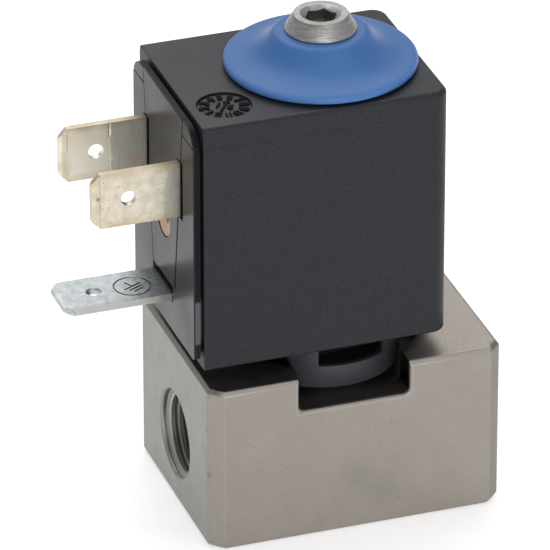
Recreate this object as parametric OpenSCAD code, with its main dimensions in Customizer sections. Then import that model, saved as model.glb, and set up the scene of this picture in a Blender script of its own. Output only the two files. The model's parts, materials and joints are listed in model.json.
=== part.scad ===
// Direct-acting solenoid valve, normally closed: a metal block with two pipe
// ports, a guide tube with a sprung plunger, and a moulded coil that slides
// over the tube and is clamped by a flared cap and a socket screw.
// Origin on the valve's axis at the underside of the block, +Z up,
// inlet port towards -X, electrical tabs towards -X, front towards -Y.

/* [Block] */
// Length of the block along the flow
body_l = 33; // [30:0.2:48]
// Depth of the block, front to back
body_w = 24.8; // [24:0.2:40]
// Height of the block
body_h = 19.2; // [18:0.1:26]
// Chamfer on the upright corners
body_corner = 1.5; // [0.5:0.1:2]
// Chamfer round the top and bottom edges
body_edge = 0.45; // [0.2:0.05:0.8]

/* [Ports] */
// Outside diameter of the pipe thread
port_d = 9.73; // [7:0.01:10]
// Metal left between a port's end and the ring's bore
port_wall = 1.5; // [1.2:0.1:3]
// Height of the port axis above the base
port_z = 8; // [7:0.1:9]
// Width of the countersink at the mouth
port_mouth = 0.25; // [0.1:0.05:0.6]
// Height of the tube's seat above the port axis
ledge_rise = 3.6; // [3.4:0.1:4.2]
// Diameter of the drilled passages
passage_d = 2.6; // [2:0.1:2.8]
// Diameter of the valve orifice
orifice_d = 2.4; // [1:0.1:2.6]
// Diameter of the seat's rim
seat_d = 3.4; // [3:0.1:4]
// Height of the seat above the chamber floor
seat_h = 1; // [0.6:0.1:1.2]

/* [Base holes] */
// Tapping diameter of the two fixing holes
base_hole_d = 3.3; // [2.5:0.1:4.2]
// Depth of the fixing holes
base_hole_depth = 6; // [4:0.5:8]
// Distance between the fixing holes, front to back
base_hole_pitch = 16; // [14:0.5:18]

/* [Pocket] */
// Gap round the ring's collar in the pocket
pocket_gap = 2.4; // [0.4:0.1:2.5]
// Depth of the pocket
pocket_depth = 3.75; // [3:0.05:4.9]
// Width of the notch that opens the pocket to the front
notch_w = 12.4; // [8:0.2:15]
// How far the notch's middle lies from the axis, towards the inlet
notch_off = 0.4; // [0:0.1:1]
// Radius in the notch's lower corners
notch_r = 0.6; // [0.3:0.1:2]

/* [Retaining ring] */
// Outside diameter of the ring's collar
collar_d = 17.2; // [15.6:0.1:18]
// Diameter of the threaded spigot
spigot_d = 14; // [13.4:0.1:16.8]
// Width of the spanner slots
slot_w = 7.6; // [4:0.1:8]
// Height of the slot floor above the collar's foot
slot_floor = 2.55; // [1.5:0.05:3.5]
// Depth of the slots, measured inwards
slot_depth = 3.2; // [1:0.1:3.4]
// Angle by which the tightened ring stops off square
ring_turn = 6; // [0:1:45]

/* [Guide tube] */
// Outside diameter of the tube
tube_d = 9; // [7.5:0.1:9.2]
// Wall of the tube
tube_wall = 0.5; // [0.4:0.05:0.7]
// Gap round the tube's foot flange in the ring's bore
flange_gap = 0.3; // [0.1:0.05:0.5]
// Thickness of the foot flange
flange_t = 1; // [0.8:0.1:1.4]
// Section diameter of the sealing ring
o_ring_section = 1; // [0.8:0.1:1.1]

/* [Plunger] */
// Length of the plunger
plunger_l = 22; // [18:0.5:24]
// Travel from closed to fully open
stroke = 1.4; // [0.8:0.1:2]
// Running clearance in the tube, per side
plunger_clear = 0.08; // [0.03:0.01:0.1]
// Diameter of the rubber seal
seal_d = 5; // [4.4:0.1:5.6]
// Height of the rubber seal
seal_h = 2; // [1.4:0.1:2.6]
// How far the seal stands below the plunger
seal_proud = 0.3; // [0.1:0.05:0.5]
// Diameter of the spring's bore in the plunger
spring_bore_d = 3.6; // [3.2:0.1:4.4]
// Depth of the spring's bore
spring_bore_depth = 9; // [7:0.5:11]
// Wire diameter of the spring
spring_wire = 0.4; // [0.3:0.05:0.5]
// Turns of the spring
spring_turns = 8; // [5:1:9]

/* [Fixed core] */
// Air left between plunger and core at full travel
air_gap = 0.1; // [0.05:0.05:0.3]
// How far the core's top lies below the coil's top
core_sink = 0.55; // [0.3:0.05:1]
// Wall of the core outside the shading ring
shading_wall = 0.5; // [0.3:0.05:0.7]
// Width and depth of the shading ring
shading_t = 0.7; // [0.5:0.1:0.9]

/* [Coil] */
// Height of the gap between block and coil
coil_gap = 2.05; // [1.5:0.05:3]
// Height of the moulded coil
coil_h = 28.6; // [26:0.1:36]
// Width of the coil, front to back
coil_w = 21.3; // [20.5:0.1:26]
// Reach of the coil from the axis towards the tabs
coil_left = 16.6; // [16:0.1:18]
// Reach of the coil from the axis away from the tabs
coil_right = 10.7; // [10.2:0.1:13]
// Wall of the moulding
coil_wall = 1.2; // [1:0.1:1.4]
// Radius on the two far upright edges
coil_edge_r = 1.7; // [1:0.1:2.2]
// Radius on the top edges
coil_top_r = 0.6; // [0.3:0.05:0.8]
// Radius on the bottom edges
coil_foot_r = 0.3; // [0.2:0.1:0.8]
// Diameter of the round inset on top
inset_d = 5.8; // [3:0.1:6]
// Depth of the round inset
inset_depth = 0.3; // [0.1:0.05:0.4]
// Thickness of the steel yoke
yoke_t = 2; // [1.5:0.1:2.5]
// Moulding in front of the steel yoke and behind it
side_wall = 2.65; // [1.5:0.05:4]
// Wall of the winding's spool
spool_wall = 0.8; // [0.6:0.1:1]
// Thickness of the spool's flanges
spool_flange_t = 1.2; // [0.8:0.1:1.6]

/* [Terminal pad] */
// Distance from the coil's front and back to the pad's edges
pad_side = 0.6; // [0.6:0.05:2]
// How far the pad sits off the coil's middle, towards the front
pad_off = 0.35; // [0:0.05:0.45]
// Distance from the coil's top to the pad's top
pad_top = 0.45; // [0.2:0.05:2]
// Distance from the coil's foot to the pad's foot
pad_foot = 1.2; // [0.5:0.1:2]
// Thickness of the pad's plate
pad_plate = 0.7; // [0.4:0.05:1]
// Width of the groove behind the plate
pad_groove = 0.35; // [0.2:0.05:1]
// Depth of the groove behind the plate
pad_groove_depth = 0.7; // [0.3:0.1:1.5]
// Radius of the pad's upper corners
pad_corner = 2.8; // [1:0.1:4]
// Radius of the pad's lower corners
pad_foot_corner = 0.8; // [0.4:0.1:2]
// Rounding of the plate's outer edge
pad_round = 0.15; // [0.1:0.05:0.4]
// Diameter of the round window in the pad
pad_window_d = 4.4; // [3:0.1:5]
// Height of the round window above the coil's foot
pad_window_z = 13.5; // [10:0.1:14]
// Width and depth of the fine lines on the pad
pad_line = 0.16; // [0.05:0.01:0.2]
// Room in the pad's slots before the line tabs and above the earth tab
slot_front = 0.85; // [0.3:0.05:1.2]
// Room in the pad's slots behind the line tabs and below the earth tab
slot_back = 0.2; // [0.1:0.05:0.5]
// Room at the ends of the pad's slots
slot_ends = 0.2; // [0.1:0.05:0.5]

/* [Tabs] */
// Width of the tabs
tab_w = 6.3; // [4.8:0.1:7.6]
// Thickness of the tabs
tab_t = 0.8; // [0.5:0.05:1]
// Distance between the two line tabs
tab_pitch = 11.2; // [10:0.1:12]
// Length of the line tabs beyond the pad
line_tab_l = 9.75; // [7:0.05:12]
// Length of the earth tab beyond the pad
earth_tab_l = 11.85; // [8:0.05:14]
// Height of the line tabs' middle above the coil's foot
line_tab_z = 19.5; // [18:0.1:21]
// Height of the earth tab's upper face above the coil's foot
earth_tab_z = 5.7; // [5.2:0.1:7]
// Diameter of the hole in each tab
tab_hole_d = 1.65; // [1:0.05:2]
// Distance from the tip to the hole's centre
tab_hole_in = 4.1; // [3:0.1:5]
// Corner chamfer at the tab's tip
tab_tip = 1; // [0.5:0.1:1.5]
// Length of the bevel on the tab's tip and edges
tab_bevel = 0.5; // [0.2:0.1:0.8]

/* [Cap and screw] */
// Outside diameter of the flared cap
cap_d = 20.6; // [16:0.1:21]
// Height of the cap under the screw head
cap_h = 4.05; // [3:0.05:6]
// Height of the cap's rim
cap_rim = 1.1; // [0.9:0.05:1.6]
// Rounding of the rim's upper edge
cap_rim_r = 0.5; // [0.3:0.05:0.5]
// Height of the rim's lower edge above the coil
cap_lift = 0.25; // [0.1:0.05:0.4]
// Width of the cap's foot
cap_foot_w = 1.5; // [1:0.1:2]
// Depth of the rounding at the cap's shoulder
cap_crown = 0.45; // [0.3:0.05:0.6]
// Diameter of the cap's shoulder
cap_shoulder_d = 10.6; // [10:0.1:12]
// Wall of the cap
cap_wall = 1.3; // [1:0.1:1.6]
// Diameter of the screw head's foot
head_d = 7.7; // [6:0.1:8]
// Diameter of the screw head's top
head_top_d = 5.8; // [5:0.1:6]
// Height of the screw head
head_h = 1.85; // [1.2:0.05:2.4]
// Nominal diameter of the screw
screw_d = 4; // [3:0.1:4.2]
// Length of the screw under its head
screw_l = 12; // [10:0.5:14]
// Width across flats of the hexagon socket
hex_af = 3; // [2:0.1:3.2]
// Depth of the hexagon socket
hex_depth = 1.6; // [1:0.1:1.8]
// Diameter of the countersink round the socket
hex_mouth_d = 4.4; // [3.8:0.1:4.6]
// Depth of that countersink
hex_mouth_h = 0.45; // [0.2:0.05:0.8]

/* [Hidden] */
$fn = 64;

// Clearances
fit = 0.02;
slip = 0.1;
thread_slack = 0.04;
over = 1;

// Levels of the block and the tube's seat
pocket_z = body_h - pocket_depth;
pocket_d = collar_d + 2 * pocket_gap;
ledge_z = port_z + ledge_rise;
spigot_depth = pocket_z - ledge_z;
squeeze = 0.8;
groove_room = 1.2;
groove_w = o_ring_section * groove_room;
groove_depth = o_ring_section * squeeze;
web = 0.9;
chamber_step = 0.2;
chamber_gap = 0.2;
inlet_z = ledge_z - groove_depth - web - passage_d / 2;
chamber_z = inlet_z - passage_d / 2 - chamber_step;
chamber_d = tube_d + 2 * chamber_gap;
flange_d = spigot_d - 2 * flange_gap;
o_ring_d = (chamber_d + flange_d) / 2;
seat_z = chamber_z + seat_h;
seat_slope = 0.6;
outlet_z = chamber_z - web - passage_d / 2;
port_end = spigot_d / 2 + port_wall;
port_depth = body_l / 2 - port_end;
port_cone = 1.2;
thread_depth = 0.6;

// Levels of the plunger and the core
tube_r = tube_d / 2;
tube_in_r = tube_r - tube_wall;
plunger_r = tube_in_r - plunger_clear;
plunger_z = seat_z + seal_proud;
plunger_top = plunger_z + plunger_l;
core_z = plunger_top + stroke + air_gap;
coil_z = body_h + coil_gap;
coil_top = coil_z + coil_h;
core_top = coil_top - core_sink;
bore_z = plunger_top - spring_bore_depth;
core_r = tube_in_r - fit;
shading_d = 2 * (core_r - shading_wall) - shading_t;

// Places inside the coil
coil_bore_r = tube_r + slip;
yoke_z = coil_z + coil_wall;
yoke_top = coil_top - coil_wall;
yoke_x = coil_right - coil_wall;
yoke_w = coil_w - 2 * side_wall;
yoke_bend = 0.4;
spool_z = yoke_z + yoke_t;
spool_top = yoke_top - yoke_t;
spool_r = coil_bore_r + spool_wall;
spool_flange_r = yoke_x - yoke_t - yoke_bend - slip;
winding_r = spool_flange_r - slip;
carrier_t = 2;
carrier_in = 2;
carrier_x = -coil_left + carrier_in;
carrier_w = yoke_w;
cavity_w = yoke_w + 2 * fit;
yoke_gap = 1;
yoke_foot_x = carrier_x + carrier_t + yoke_gap;
arm_w = 3;
tail_l = 0.8;
tail_x = carrier_x + carrier_t + tail_l;
tail_w = 2;
lead_d = 0.5;

// Places on the terminal pad
pad_x = -coil_left - pad_groove - pad_plate;
pad_w = coil_w - 2 * pad_side;
pad_z = coil_z + pad_foot;
pad_z_top = coil_top - pad_top;
window_at = [0, -pad_off, coil_z + pad_window_z];
line_z = coil_z + line_tab_z;
earth_z = coil_z + earth_tab_z;
panel_half_top = 6.5;
panel_half_foot = 3.5;
panel_foot_z = earth_z + slot_front;
panel_cross_drop = 1.9;
panel_cross_in = 0.2;
boss_sink = 0.1;
earth_foot = 1.6;
inset_at = [-12.7, -5.85];

// Screw
screw_z = coil_top + cap_h;
screw_r = screw_d / 2 - thread_slack;
screw_end = screw_z - screw_l;

// Rectangle from lo to hi with its own radius at each corner, anticlockwise from lo
module round_rect(lo, hi, radii) {
    corners = [lo, [hi.x, lo.y], hi, [lo.x, hi.y]];
    difference() {
        translate(lo) square(hi - lo);
        for (i = [0:3])
            if (radii[i] > 0)
                translate(corners[i]) rotate(90 * i) difference() {
                    translate([-over, -over]) square(radii[i] + over);
                    translate([radii[i], radii[i]]) circle(radii[i]);
                }
    }
}

// Outline in X and Z drawn out along Y, centred
module along_y(width) {
    rotate([90, 0, 0]) linear_extrude(height = width, center = true) children();
}

// Outline in Y and Z drawn out along X from x0
module along_x(x0, length) {
    translate([x0, 0, 0]) rotate([90, 0, 90]) linear_extrude(height = length) children();
}

// Cylinder along X from x0
module rod_x(x0, length, d) {
    translate([x0, 0, 0]) rotate([0, 90, 0]) cylinder(h = length, d = d);
}

// Long wedge that takes the edge off a flat side at distance d in direction a
module edge_cut(a, d, z, size, up) {
    rotate([0, 0, a]) translate([d, 0, z]) mirror([0, 0, up ? 0 : 1]) along_y(2 * (body_l + body_w))
        polygon([[over, over], [-size - over, over], [over, -size - over]]);
}

// Block with chamfered corners and edges
module block() {
    corner_d = (body_l / 2 + body_w / 2 - body_corner) / sqrt(2);
    sides = [[0, body_l / 2], [90, body_w / 2], [180, body_l / 2], [270, body_w / 2],
             [45, corner_d], [135, corner_d], [225, corner_d], [315, corner_d]];
    difference() {
        translate([-body_l / 2, -body_w / 2, 0]) cube([body_l, body_w, body_h]);
        for (i = [4:7])
            rotate([0, 0, sides[i][0]]) translate([sides[i][1], -body_l, -over])
                cube([body_l, 2 * body_l, body_h + 2 * over]);
        for (s = sides) {
            edge_cut(s[0], s[1], body_h, body_edge, true);
            edge_cut(s[0], s[1], 0, body_edge, false);
        }
    }
}

// One pipe port, cut towards +X
module port_cut() {
    translate([0, 0, port_z]) {
        rod_x(port_end, port_depth + over, port_d);
        translate([body_l / 2, 0, 0]) rotate([0, -90, 0])
            cylinder(h = port_mouth, r1 = port_d / 2 + port_mouth, r2 = port_d / 2);
        translate([port_end, 0, 0]) rotate([0, -90, 0])
            cylinder(h = port_cone, r1 = port_d / 2 - thread_depth, r2 = passage_d / 2);
    }
}

// Notch that opens the pocket to the front
module notch_cut() {
    translate([-notch_off, -body_w / 4 - over / 2, 0]) along_y(body_w / 2 + over)
        round_rect([-notch_w / 2, pocket_z], [notch_w / 2, body_h + over], [notch_r, notch_r, 0, 0]);
}

module valve_body() color([0.62, 0.6, 0.57]) difference() {
    union() {
        difference() {
            block();
            translate([0, 0, pocket_z]) cylinder(h = pocket_depth + over, d = pocket_d);
            translate([0, 0, ledge_z]) cylinder(h = spigot_depth + over, d = spigot_d);
            translate([0, 0, chamber_z]) cylinder(h = ledge_z - chamber_z + over, d = chamber_d);
            translate([0, 0, ledge_z - groove_depth]) difference() {
                cylinder(h = groove_depth + over, d = o_ring_d + groove_w);
                translate([0, 0, -over]) cylinder(h = groove_depth + 3 * over, d = o_ring_d - groove_w);
            }
        }
        translate([0, 0, chamber_z - over])
            cylinder(h = seat_h + over, r1 = seat_d / 2 + seat_slope, r2 = seat_d / 2);
    }
    notch_cut();
    port_cut();
    mirror([1, 0, 0]) port_cut();
    translate([0, 0, inlet_z]) rod_x(-port_end - port_cone, port_end + port_cone - seat_d, passage_d);
    translate([0, 0, outlet_z]) rod_x(0, port_end + port_cone, passage_d);
    translate([0, 0, outlet_z]) cylinder(h = seat_z - outlet_z + over, d = orifice_d);
    for (y = [-1, 1] * base_hole_pitch / 2)
        translate([0, y, -over]) cylinder(h = base_hole_depth + over, d = base_hole_d);
}

module guide_tube() color([0.72, 0.72, 0.74]) difference() {
    union() {
        translate([0, 0, ledge_z]) cylinder(h = flange_t, d = flange_d);
        translate([0, 0, ledge_z]) cylinder(h = core_top - ledge_z, r = tube_r);
    }
    translate([0, 0, ledge_z - over]) cylinder(h = core_top - ledge_z + 2 * over, r = tube_in_r);
}

module tube_o_ring() color([0.1, 0.1, 0.1])
    translate([0, 0, ledge_z - groove_depth / 2]) rotate_extrude() translate([o_ring_d / 2, 0])
        intersection() {
            circle(d = o_ring_section);
            square([2 * o_ring_section, groove_depth], center = true);
        }

module retaining_ring() color([0.13, 0.13, 0.14]) difference() {
    union() {
        translate([0, 0, ledge_z + flange_t])
            cylinder(h = pocket_z - ledge_z - flange_t + over, r = spigot_d / 2 - fit);
        translate([0, 0, pocket_z]) cylinder(h = coil_z - pocket_z, d = collar_d);
    }
    translate([0, 0, ledge_z]) cylinder(h = coil_z - ledge_z + over, r = tube_r + slip);
    for (a = [0:90:270])
        rotate([0, 0, a + ring_turn])
            translate([-slot_w / 2, -collar_d / 2 - over, pocket_z + slot_floor])
                cube([slot_w, slot_depth + over, coil_z - pocket_z]);
}

module fixed_core() color([0.66, 0.67, 0.69]) difference() {
    translate([0, 0, core_z]) cylinder(h = core_top - core_z, r = core_r);
    translate([0, 0, core_z - over]) difference() {
        cylinder(h = shading_t + over, d = shading_d + shading_t);
        translate([0, 0, -over]) cylinder(h = shading_t + 3 * over, d = shading_d - shading_t);
    }
    translate([0, 0, screw_end - over]) cylinder(h = core_top - screw_end + 2 * over, d = screw_d);
}

module shading_ring() color([0.72, 0.42, 0.25]) translate([0, 0, core_z]) difference() {
    cylinder(h = shading_t, d = shading_d + shading_t - 2 * fit);
    translate([0, 0, -over]) cylinder(h = shading_t + 2 * over, d = shading_d - shading_t + 2 * fit);
}

module plunger() color([0.66, 0.67, 0.69]) {
    edge = 0.4;
    vent_w = 1.2;
    vent_depth = 0.5;
    difference() {
        union() {
            translate([0, 0, plunger_z]) cylinder(h = edge, r1 = plunger_r - edge, r2 = plunger_r);
            translate([0, 0, plunger_z + edge]) cylinder(h = plunger_l - 2 * edge, r = plunger_r);
            translate([0, 0, plunger_top - edge]) cylinder(h = edge, r1 = plunger_r, r2 = plunger_r - edge);
        }
        translate([0, 0, plunger_z - over]) cylinder(h = seal_h - seal_proud + over, d = seal_d);
        translate([0, 0, bore_z]) cylinder(h = spring_bore_depth + over, d = spring_bore_d);
        for (a = [0, 180])
            rotate([0, 0, a]) translate([plunger_r - vent_depth, -vent_w / 2, plunger_z - over])
                cube([tube_r, vent_w, plunger_l + 2 * over]);
    }
}

module plunger_seal() color([0.12, 0.12, 0.12])
    translate([0, 0, seat_z]) cylinder(h = seal_h, d = seal_d - 2 * fit);

// Spring wire: rings of six points along a helix
spring_seat = 0.05;
spring_r = (spring_bore_d - spring_wire) / 2 - slip;
spring_lo = bore_z + spring_seat + spring_wire / 2;
spring_hi = core_z - spring_seat - spring_wire / 2;
spring_rings = 8 * spring_turns;
wire_sides = 6;
function helix(i) = let (a = 360 * i / 8)
    [spring_r * cos(a), spring_r * sin(a), spring_lo + (spring_hi - spring_lo) * i / spring_rings];
function wire_point(i, j) = let (a = 360 * i / 8, b = 360 * j / wire_sides)
    helix(i) + spring_wire / 2 * [cos(a) * cos(b), sin(a) * cos(b), sin(b)];

module return_spring() color([0.75, 0.75, 0.78]) {
    points = [for (i = [0:spring_rings]) for (j = [0:wire_sides - 1]) wire_point(i, j)];
    last = spring_rings * wire_sides;
    sides = [for (i = [0:spring_rings - 1]) for (j = [0:wire_sides - 1])
        let (p = i * wire_sides + j, q = i * wire_sides + (j + 1) % wire_sides)
            each [[p, p + wire_sides, q], [q, p + wire_sides, q + wire_sides]]];
    ends = [for (j = [1:wire_sides - 2]) each [[0, j, j + 1], [last, last + j + 1, last + j]]];
    polyhedron(points, concat(sides, ends));
}
spring_gap = min([for (i = [0:spring_rings - 8]) norm(helix(i + 8) - helix(i))]) - spring_wire;
echo(least_spring_gap = spring_gap);

// Outer form of the moulded coil: two crossed slabs and two turned corners
module coil_block() {
    half = coil_w / 2;
    corner_x = coil_right - coil_edge_r;
    corner_y = half - coil_edge_r;
    along_x(-coil_left, coil_left + corner_x)
        round_rect([-half, coil_z], [half, coil_top], [coil_foot_r, coil_foot_r, coil_top_r, coil_top_r]);
    along_y(2 * corner_y)
        round_rect([0, coil_z], [coil_right, coil_top], [0, coil_foot_r, coil_top_r, 0]);
    for (side = [-1, 1])
        translate([corner_x, side * corner_y, 0]) rotate([0, 0, min(0, 90 * side)])
            rotate_extrude(angle = 90)
                round_rect([0, coil_z], [coil_edge_r, coil_top], [0, coil_foot_r, coil_top_r, 0]);
}

// Passages for the three tabs, with room on their two faces and at their edges
module tab_slots(x0, length, front, back, ends) {
    depth = tab_t + front + back;
    width = tab_w + 2 * ends;
    for (y = [-1, 1] * tab_pitch / 2)
        translate([x0, y - tab_t / 2 - front, line_z - width / 2]) cube([length, depth, width]);
    translate([x0, -width / 2, earth_z - tab_t - back]) cube([length, width, depth]);
}

module coil_housing() color([0.2, 0.2, 0.21]) difference() {
    coil_block();
    translate([carrier_x, -cavity_w / 2, yoke_z]) cube([yoke_x - carrier_x, cavity_w, yoke_top - yoke_z]);
    translate([0, 0, coil_z - over]) cylinder(h = coil_h + 2 * over, r = coil_bore_r);
    tab_slots(-coil_left - over, carrier_x + coil_left + 2 * over, fit, fit, fit);
    translate(window_at) rod_x(-coil_left - over, carrier_x + coil_left + 2 * over, pad_window_d);
    translate([inset_at.x, inset_at.y, coil_top - inset_depth]) cylinder(h = inset_depth + over, d = inset_d);
}

// Fine lines that frame the middle of the pad
module pad_lines() {
    rise = pad_z_top - panel_foot_z;
    run = panel_half_top - panel_half_foot;
    reach = sqrt(rise * rise + run * run);
    for (side = [0, 1]) mirror([0, side, 0]) {
        translate([pad_x - over, panel_half_foot, panel_foot_z]) rotate([-atan(run / rise), 0, 0])
            cube([pad_line + over, pad_line, reach + over]);
        translate([pad_x - over, panel_half_top - panel_cross_in, pad_z_top - panel_cross_drop])
            cube([pad_line + over, pad_w, pad_line]);
    }
}

module terminal_panel() color([0.24, 0.24, 0.24]) translate([0, -pad_off, 0]) {
    half = pad_w / 2;
    depth = pad_plate + pad_groove;
    neck = half - pad_groove_depth;
    difference() {
        union() {
            intersection() {
                along_x(pad_x, pad_plate) round_rect([-half, pad_z], [half, pad_z_top],
                    [pad_foot_corner, pad_foot_corner, pad_corner, pad_corner]);
                along_y(pad_w + over) round_rect([pad_x, pad_z], [pad_x + depth, pad_z_top],
                    [pad_round, 0, 0, pad_round]);
                linear_extrude(height = coil_top) round_rect([pad_x, -half], [pad_x + depth, half],
                    [pad_round, 0, 0, pad_round]);
            }
            along_x(pad_x + pad_plate / 2, depth - pad_plate / 2) round_rect(
                [-neck, pad_z + pad_groove_depth], [neck, pad_z_top - pad_groove_depth],
                [0, 0, pad_corner - pad_groove_depth, pad_corner - pad_groove_depth]);
        }
        translate([0, pad_off, 0])
            tab_slots(pad_x - over, depth + 2 * over, slot_front, slot_back, slot_ends);
        translate([0, 0, window_at.z]) rod_x(pad_x - over, depth + 2 * over, pad_window_d);
        pad_lines();
    }
}

// Spool with a carrier wall that holds the tabs' roots
module coil_bobbin() color([0.78, 0.66, 0.48]) difference() {
    union() {
        translate([0, 0, spool_z]) cylinder(h = spool_top - spool_z, r = spool_r);
        for (z = [spool_z, spool_top - spool_flange_t]) {
            translate([0, 0, z]) cylinder(h = spool_flange_t, r = spool_flange_r);
            for (side = [-1, 1])
                translate([carrier_x + fit, side * (carrier_w / 2 - arm_w / 2) - arm_w / 2, z])
                    cube([-carrier_x - 2 * fit, arm_w, spool_flange_t]);
        }
        translate([carrier_x, -carrier_w / 2, spool_z]) cube([carrier_t, carrier_w, spool_top - spool_z]);
        translate(window_at)
            rod_x(pad_x + boss_sink, carrier_x - pad_x - boss_sink + fit, pad_window_d - 2 * slip);
    }
    translate([0, 0, spool_z - over]) cylinder(h = spool_top - spool_z + 2 * over, r = coil_bore_r);
    tab_slots(carrier_x - over, carrier_t + 2 * over, fit, fit, fit);
}

module coil_winding() color([0.62, 0.33, 0.17])
    translate([0, 0, spool_z + spool_flange_t + fit]) difference() {
        cylinder(h = spool_top - spool_z - 2 * spool_flange_t - 2 * fit, r = winding_r);
        translate([0, 0, -over]) cylinder(h = coil_h, r = spool_r + fit);
    }

// Steel strip bent round the winding, bored for the tube
module yoke_bracket() color([0.6, 0.6, 0.62]) difference() {
    bend = yoke_t + yoke_bend;
    along_y(yoke_w) difference() {
        round_rect([yoke_foot_x, yoke_z], [yoke_x, yoke_top], [0, bend, bend, 0]);
        round_rect([yoke_foot_x - over, yoke_z + yoke_t], [yoke_x - yoke_t, yoke_top - yoke_t],
            [0, yoke_bend, yoke_bend, 0]);
    }
    translate([0, 0, yoke_z - over]) cylinder(h = yoke_top - yoke_z + 2 * over, r = coil_bore_r);
}

module winding_leads() color([0.7, 0.38, 0.2]) {
    reach = sqrt(pow(winding_r, 2) - pow(tab_pitch / 2 - lead_d / 2, 2));
    for (y = [-1, 1] * tab_pitch / 2)
        translate([0, y, line_z]) rod_x(tail_x, -tail_x - reach - slip, lead_d);
}

// Flat tab seen from above, tip towards -X, from the tip to the root
module tab_outline(tip_x, root_x) {
    half = tab_w / 2;
    difference() {
        polygon([[tip_x + tab_tip, -half], [root_x, -half], [root_x, half], [tip_x + tab_tip, half],
                 [tip_x, half - tab_tip], [tip_x, tab_tip - half]]);
        translate([tip_x + tab_hole_in, 0]) circle(d = tab_hole_d);
    }
}

// Thickness of a tab along its length, thinned at the tip
module tab_section(tip_x, root_x) {
    thin = tab_t / 4;
    polygon([[tip_x, thin], [tip_x + tab_bevel, 0], [root_x, 0], [root_x, tab_t],
             [tip_x + tab_bevel, tab_t], [tip_x, tab_t - thin]]);
}

module line_terminal() {
    tip_x = pad_x - line_tab_l;
    root_x = carrier_x + carrier_t;
    translate([0, 0, line_z]) {
        rotate([90, 0, 0]) intersection() {
            translate([0, 0, -tab_t / 2]) linear_extrude(height = tab_t) tab_outline(tip_x, root_x);
            translate([0, 0, -tab_t / 2]) along_y(tab_w) tab_section(tip_x, root_x);
        }
        translate([carrier_x, -tab_t / 2, -tail_w / 2]) cube([tail_x - carrier_x, tab_t, tail_w]);
    }
}

module line_terminal_front() color([0.8, 0.76, 0.64]) translate([0, -tab_pitch / 2, 0]) line_terminal();

module line_terminal_back() color([0.8, 0.76, 0.64]) translate([0, tab_pitch / 2, 0]) line_terminal();

module earth_terminal() color([0.75, 0.78, 0.82]) {
    tip_x = pad_x - earth_tab_l;
    bend_x = carrier_x + carrier_t;
    drop = earth_z - tab_t - spool_z;
    end_x = bend_x + drop + earth_foot;
    intersection() {
        translate([0, 0, spool_z]) linear_extrude(height = earth_z - spool_z) tab_outline(tip_x, end_x);
        union() {
            translate([0, 0, earth_z - tab_t]) along_y(tab_w) tab_section(tip_x, bend_x);
            along_y(tab_w) polygon([[bend_x, earth_z - tab_t], [bend_x + drop, spool_z], [end_x, spool_z],
                [end_x, spool_z + tab_t], [bend_x + drop + tab_t / 2, spool_z + tab_t],
                [bend_x + tab_t / 2, earth_z], [bend_x, earth_z]]);
        }
    }
}

// Half section of the flared cap, from the rim in to the screw hole:
// a rounded rim, a flare that steepens inwards, and a rounded shoulder
rim_lean = 8;
flare_power = 3;
cap_r = cap_d / 2;
shoulder_r = cap_shoulder_d / 2;
flare_r = cap_r - cap_rim_r * (1 - sin(rim_lean));
flare_run = flare_r - shoulder_r;
flare_top = cap_h - cap_crown;
flare_rise = flare_top - cap_rim;
flare_straight = tan(rim_lean) * flare_run / flare_rise;
flare_slope = (flare_straight + (1 - flare_straight) * flare_power) * flare_rise / flare_run;
crown_a = atan(1 / flare_slope);
crown_r = cap_crown / (1 - sin(crown_a));
function flare(t) = [flare_r - t * flare_run,
    cap_rim + flare_rise * (flare_straight * t + (1 - flare_straight) * pow(t, flare_power))];
function crown(a) = [shoulder_r + crown_r * (cos(a) - cos(crown_a)), cap_h + crown_r * (sin(a) - 1)];
module cap_section() {
    steps = 14;
    bends = 6;
    hole_r = screw_d / 2 + slip;
    foot_r = cap_r - cap_rim_r;
    rim_z = cap_rim - cap_rim_r * cos(rim_lean);
    rim = [for (i = [0:bends]) let (a = (90 - rim_lean) * i / bends)
        [foot_r + cap_rim_r * cos(a), rim_z + cap_rim_r * sin(a)]];
    skin = [for (i = [1:steps]) flare(i / steps)];
    top = [for (i = [1:bends]) crown(crown_a + (90 - crown_a) * i / bends)];
    under = [for (i = [steps:-1:0]) flare(i / steps) - [0, cap_wall]];
    polygon(concat([[foot_r - cap_lift, 0], [foot_r, cap_lift], [cap_r - cap_lift / 2, cap_lift],
        [cap_r, cap_lift + cap_lift / 2]], rim, skin, top,
        [[hole_r, cap_h], [hole_r, flare_top - cap_wall]],
        [for (p = under) if (p.y > cap_lift && p.x < foot_r - cap_foot_w) p], [[foot_r - cap_foot_w, 0]]));
}

module retaining_cap() color([0.27, 0.43, 0.68])
    translate([0, 0, coil_top]) rotate_extrude() cap_section();

module cap_screw() color([0.7, 0.69, 0.67]) difference() {
    foot = 0.25;
    union() {
        translate([0, 0, screw_end]) cylinder(h = screw_l + foot, r = screw_r);
        translate([0, 0, screw_z]) cylinder(h = foot, d = head_d);
        translate([0, 0, screw_z + foot]) cylinder(h = head_h - foot, d1 = head_d, d2 = head_top_d);
    }
    translate([0, 0, screw_z + head_h - hex_mouth_h])
        cylinder(h = hex_mouth_h, d1 = hex_af, d2 = hex_mouth_d);
    translate([0, 0, screw_z + head_h - hex_depth])
        cylinder(h = hex_depth + over, d = hex_af / cos(30), $fn = 6);
}

valve_body();
guide_tube();
tube_o_ring();
retaining_ring();
fixed_core();
shading_ring();
plunger();
plunger_seal();
return_spring();
coil_housing();
terminal_panel();
coil_bobbin();
coil_winding();
yoke_bracket();
winding_leads();
line_terminal_front();
line_terminal_back();
earth_terminal();
retaining_cap();
cap_screw();
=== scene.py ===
import bpy
import bmesh
import json
import math
from mathutils import Vector, Matrix


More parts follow.
